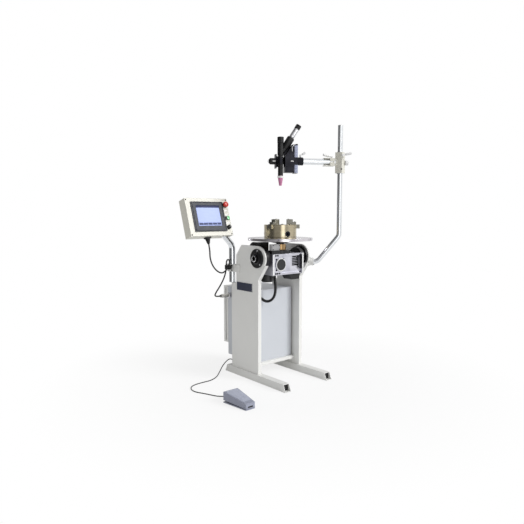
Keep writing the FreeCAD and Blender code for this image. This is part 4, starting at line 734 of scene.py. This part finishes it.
def dressChuck():
    # Face screws between the jaws, a thin dark band round the body, and two screws on each jaw
    jawPitch = 360 / chuck["jaws"]
    turns = [chuck["firstJaw"] + jawPitch * i for i in range(chuck["jaws"])]

    def spotAt(turn, reach):
        return reach * math.cos(math.radians(turn)), reach * math.sin(math.radians(turn)), chuck["from"]

    spots = [spotAt(turn + jawPitch / 2 + side * chuck["screwSpread"], chuck["screwReach"])
             for turn in turns for side in (-1, 1)]
    screwsOn("chuckScrews", "chuck_body", spots, (0, 0, -1), "blackOxideSteel", "turntable",
             chuck["faceScrew"])
    addPiece("chuckBand", lathed([(0, 0, chuck["bandZ"])], (0, 0, 1), chuck["band"], 96), "blackOxideSteel",
             "turntable")
    for index, turn in enumerate(turns, start=1):
        spots = [spotAt(turn, reach) for reach in chuck["jawScrewReach"]]
        screwsOn(f"jawScrews{index}", f"jaw_{index}", spots, (0, 0, -1), "blackOxideSteel", f"jaw_{index}",
                 chuck["jawScrew"])


# The torch side is drawn with x along the arm, from the table's axis to the mast
torchPlace = Matrix.Rotation(math.radians(-29), 4, "Z")
levers = {"mast": {"start": (386, -39.8, 1386), "lean": 78, "long": 52, "radius": 5.5},
          "arm": {"start": (327, 0, 1376.3), "lean": -76, "long": 54, "radius": 5},
          "head": {"start": (126, 0, 1382.5), "lean": 62, "long": 32, "radius": 4.5}}
rail = {"x": (82.4, 102.8), "y": (-26, -24.9), "z": ((1368, 1439), (1273, 1322)), "tickX": 84,
        "tickY": (-26.5, -25.9), "tickLong": (7, 12), "tickTall": 1.6, "ticks": ((1276, 6), (1372, 9)),
        "pitch": 8}
slide = {"labels": [((58, -25.7, 1342), (76, -24.9, 1347)), ((66, -25.7, 1404), (69, -24.9, 1432))],
         "buttonFrom": (75, -90, 1437), "button": [(0, 4), (1.5, 4), (2.5, 2.8), (2.5, 0)],
         "screwX": (32, 74), "screwZ": (1284, 1310, 1376), "from": -90, "screw": (3.6, 2),
         "rearPlate": ((24.2, 22.2, 1372), (80, 24.8, 1443))}
crossKnob = {"start": (-58.6, 32, 1347), "long": 31, "radius": 19.6, "depth": 1.2, "count": 14,
             "chamfer": 1.5, "label": ((-46, 11.6, 1343.5), (-29, 14, 1350.5)),
             "stubStart": (-66, 32, 1347), "stub": [(0, 4.6), (6, 4.6), (7.5, 3.4), (7.5, 0)]}
clampKnob = {"start": (414.4, 0, 1342), "long": 17, "radius": 15.6, "depth": 0.9, "count": 12, "chamfer": 1.5}
backCap = {"start": (0, 0, 1452.3), "long": 38.5, "radius": 19.6, "depth": 1.3, "count": 12, "chamfer": 2}
gasket = {"start": (0, 0, 1243.6), "profile": [(0, 17.4), (1, 18.4), (11, 18.4), (12.4, 17.4)]}
handle = {"start": (10, 0, 1400), "lean": 33, "threadFrom": 102, "threadLong": 64, "threads": 32,
          "root": 15.2, "thread": 15.7, "crest": 1.4,
          "sleeve": [(24, 16), (30, 19), (58, 22.4), (62, 23.2), (99, 23.2), (102.4, 21.6), (102.4, 0)],
          "nut": {"long": 26, "radius": 17.2, "depth": 1.2, "count": 8, "chamfer": 2}}
holder = {"spots": [(9, -60, 1337), (9, -60, 1357)], "screw": (4, 3)}
mast = {"grubFrom": (381, -90, 1302), "grub": (4.5, 2), "capStart": (382, 0, 1566),
        "cap": [(0, 13), (5, 13), (5, 15.6), (6.5, 15.6), (7.5, 14), (7.5, 0)]}


def leverSleeve(name, lever):
    # The white moulded sleeve over the outer part of a handle that leans from upright towards the mast
    radius, long = lever["radius"], 0.7 * lever["long"]
    out = (math.sin(math.radians(lever["lean"])), 0, math.cos(math.radians(lever["lean"])))
    start = tuple(s + 0.3 * lever["long"] * o for s, o in zip(lever["start"], out))
    profile = [(0, radius), (2, radius + 1), (long - 2, radius + 2.6), (long + 2, radius + 2.2),
               (long + 4, radius), (long + 5, 0)]
    addPiece(name + "LeverSleeve", lathed([start], out, profile, 24), "whiteEnamel", name + "_lever",
             torchPlace)


def dressTorchSlides():
    # Rail scale and its ticks, and the labels, button, screws and knob of the torch's slides
    addPiece("railScale", blocks([span(rail["x"], rail["y"], z) for z in rail["z"]], 0.2), "paleScale",
             "arm_head", torchPlace)
    ticks = []
    for first, count in rail["ticks"]:
        for i in range(count):
            x, z = rail["tickX"], first + rail["pitch"] * i
            ticks.append(span((x, x + rail["tickLong"][i % 2]), rail["tickY"], (z, z + rail["tickTall"])))
    addPiece("railTicks", blocks(ticks, 0.1), "screenKey", "arm_head", torchPlace)
    addPiece("slideLabels", blocks(slide["labels"], 0.2), "whiteAbs", "slide_block", torchPlace)
    button = touch("slide_block", slide["buttonFrom"], (0, 1, 0), torchPlace)
    addPiece("slideButton", lathed([button], (0, -1, 0), slide["button"], 20), "whiteAbs", "slide_block",
             torchPlace)
    spots = [(x, slide["from"], z) for x in slide["screwX"] for z in slide["screwZ"]]
    screwsOn("slideScrews", "slide_block", spots, (0, 1, 0), "blackOxideSteel", "slide_block", slide["screw"],
             torchPlace)
    addPiece("crossKnobGrip", gripRing((1, 0, 0), crossKnob), "blackNylon", "cross_knob", torchPlace)
    addPiece("crossKnobLabel", blocks([crossKnob["label"]], 0.3), "whiteAbs", "cross_knob", torchPlace)
    addPiece("crossKnobStub", lathed([crossKnob["stubStart"]], (-1, 0, 0), crossKnob["stub"], 20),
             "brightScrew", "cross_knob", torchPlace)


def dressTorch():
    # Clamp knob, back cap, gasket, the handle's thread, sleeve and nut, the holder's screws, mast cap
    addPiece("clampKnobGrip", gripRing((1, 0, 0), clampKnob), "whiteEnamel", "clamp_knob", torchPlace)
    addPiece("backCapFlutes", gripRing((0, 0, 1), backCap), "blackNylon", "torch", torchPlace,
             replaced=["back_cap"])
    addPiece("cupGasket", lathed([gasket["start"]], (0, 0, 1), gasket["profile"]), "whiteAbs", "torch",
             torchPlace)

    lean, long = math.radians(handle["lean"]), handle["threadLong"]
    out = (math.sin(lean), 0, math.cos(lean))
    base, end = [tuple(c + o * along for c, o in zip(handle["start"], out))
                 for along in (handle["threadFrom"], handle["threadFrom"] + long)]
    waves = [(1 + 2 * i, handle["thread"] + handle["crest"] * (i % 2)) for i in range(handle["threads"])]
    addPiece("gripThread", lathed([base], out, [(0, handle["root"]), *waves, (long, handle["root"])], 32),
             "brightScrew", "torch", torchPlace)
    addPiece("gripSleeve", lathed([handle["start"]], out, handle["sleeve"]), "blackNylon", "torch",
             torchPlace)
    addPiece("slideRearPlate", blocks([slide["rearPlate"]], 0.6), "blackOxideSteel", "slide_block",
             torchPlace)
    addPiece("gripNut", gripRing(out, {"start": end, **handle["nut"]}), "blackNylon", "torch", torchPlace)
    screwsOn("holderScrews", "torch_holder", holder["spots"], (0, 1, 0), "blackNylon", "torch",
             holder["screw"], torchPlace)
    screwsOn("mastGrub", "mast_clamp", [mast["grubFrom"]], (0, 1, 0), "blackOxideSteel", "clamp",
             mast["grub"], torchPlace)
    addPiece("mastCap", lathed([mast["capStart"]], (0, 0, 1), mast["cap"], 40), "whiteAbs", "frame",
             torchPlace)


dressPanel()
dressColumns()
dressCabinet()
dressPedal()
dressHead()
dressChuck()
for name, lever in levers.items():
    leverSleeve(name, lever)
dressTorchSlides()
dressTorch()
print("small parts in place")

# Flags are (place, brightness) of what reflections see, the place being a share of a full turn that
# starts behind the object and goes round by its left
studio = {"skyLight": 0.54, "keyStrength": 2.1, "keyFrom": (0.45, -0.75, 0.5), "keySoftness": 25,
          "rightward": (0.765, -0.644, 0), "frontward": (-0.644, -0.765, 0),
          "flags": [(0.0, 0.75), (0.14, 0.6), (0.19, 0.13), (0.35, 0.12), (0.39, 0.38), (0.5, 0.45),
                    (0.535, 2.4), (0.57, 2.4), (0.59, 0.9), (0.62, 0.6), (0.70, 1.0), (0.80, 1.0),
                    (1.0, 0.85)]}
ground = {"size": 5000, "drop": 0.5, "paper": 0.92, "glow": (0.78, 1.0), "fade": (550, 1500)}


def makeWorld():
    # An even grey sky for the light, and for reflections a studio: a dark flag on the left, a strip in front
    world = bpy.data.worlds.new("studio")
    bpy.context.scene.world = world
    world.use_nodes = True
    tree = world.node_tree
    tree.nodes.clear()
    path = addNode(tree, "ShaderNodeLightPath").outputs
    direction = addNode(tree, "ShaderNodeTexCoord").outputs["Generated"]
    across, along = [addNode(tree, "ShaderNodeVectorMath", {0: direction, 1: studio[way]},
                             operation="DOT_PRODUCT").outputs["Value"] for way in ("rightward", "frontward")]
    angle = addNode(tree, "ShaderNodeMath", {0: across, 1: along}, operation="ARCTAN2").outputs["Value"]
    share = addNode(tree, "ShaderNodeMapRange", {"Value": angle, "From Min": -math.pi, "From Max": math.pi})
    ramp = addNode(tree, "ShaderNodeValToRGB", {"Fac": share.outputs["Result"]})
    stops = ramp.color_ramp.elements
    while len(stops) < len(studio["flags"]):
        stops.new(0.5)
    for stop, (place, level) in zip(stops, studio["flags"]):
        stop.position = place
        stop.color = (level, level, level, 1)
    sky = studio["skyLight"]
    seen = addNode(tree, "ShaderNodeMix", {"Factor": path["Is Glossy Ray"], 6: (sky, sky, sky, 1),
                                           7: ramp.outputs["Color"]}, data_type="RGBA")
    clear = addNode(tree, "ShaderNodeMath", {0: path["Is Camera Ray"], 1: path["Is Transmission Ray"]},
                    operation="MAXIMUM")
    whole = addNode(tree, "ShaderNodeMix", {"Factor": clear.outputs["Value"], 6: seen.outputs[2],
                                            7: (1, 1, 1, 1)}, data_type="RGBA")
    background = addNode(tree, "ShaderNodeBackground", {"Color": whole.outputs[2]})
    addNode(tree, "ShaderNodeOutputWorld", {"Surface": background.outputs["Background"]})


def makeFloor():
    # A white floor that keeps the shadow: part of what the camera sees of it is plain white
    material = bpy.data.materials.new("whiteFloor")
    material.use_nodes = True
    tree = material.node_tree
    tree.nodes.clear()
    paper = addNode(tree, "ShaderNodeBsdfDiffuse", {"Color": (*[ground["paper"]] * 3, 1)})
    glow = addNode(tree, "ShaderNodeEmission", {"Color": (1, 1, 1, 1), "Strength": 1.0})
    path = addNode(tree, "ShaderNodeLightPath").outputs
    seen = addNode(tree, "ShaderNodeMath", {0: path["Is Camera Ray"], 1: path["Is Glossy Ray"]},
                   operation="MAXIMUM")
    reach = addNode(tree, "ShaderNodeVectorMath", {0: objectPoint(tree)}, operation="LENGTH")
    (near, far), (low, high) = ground["fade"], ground["glow"]
    white = addNode(tree, "ShaderNodeMapRange", {"Value": reach.outputs["Value"], "From Min": mm(near),
                                                 "From Max": mm(far), "To Min": low, "To Max": high})
    share = addNode(tree, "ShaderNodeMath", {0: seen.outputs["Value"], 1: white.outputs["Result"]},
                    operation="MULTIPLY")
    mixed = addNode(tree, "ShaderNodeMixShader", {0: share.outputs["Value"], 1: paper.outputs["BSDF"],
                                                  2: glow.outputs["Emission"]})
    addNode(tree, "ShaderNodeOutputMaterial", {"Surface": mixed.outputs["Shader"]})
    half = mm(ground["size"]) / 2
    data = bpy.data.meshes.new("floor")
    corners = [(-half, -half, 0), (half, -half, 0), (half, half, 0), (-half, half, 0)]
    data.from_pydata(corners, [], [(0, 1, 2, 3)])
    data.materials.append(material)
    floor = bpy.data.objects.new("floor", data)
    floor.location.z = -mm(ground["drop"])
    bpy.context.scene.collection.objects.link(floor)


def makeLamp():
    lamp = bpy.data.lights.new("keyLamp", "SUN")
    lamp.energy = studio["keyStrength"]
    lamp.angle = math.radians(studio["keySoftness"])
    key = bpy.data.objects.new("keyLamp", lamp)
    bpy.context.scene.collection.objects.link(key)
    key.rotation_euler = Vector(studio["keyFrom"]).to_track_quat("Z", "Y").to_euler()


makeWorld()
makeFloor()
makeLamp()
bpy.context.scene.view_settings.view_transform = "Standard"
print("stage lit")
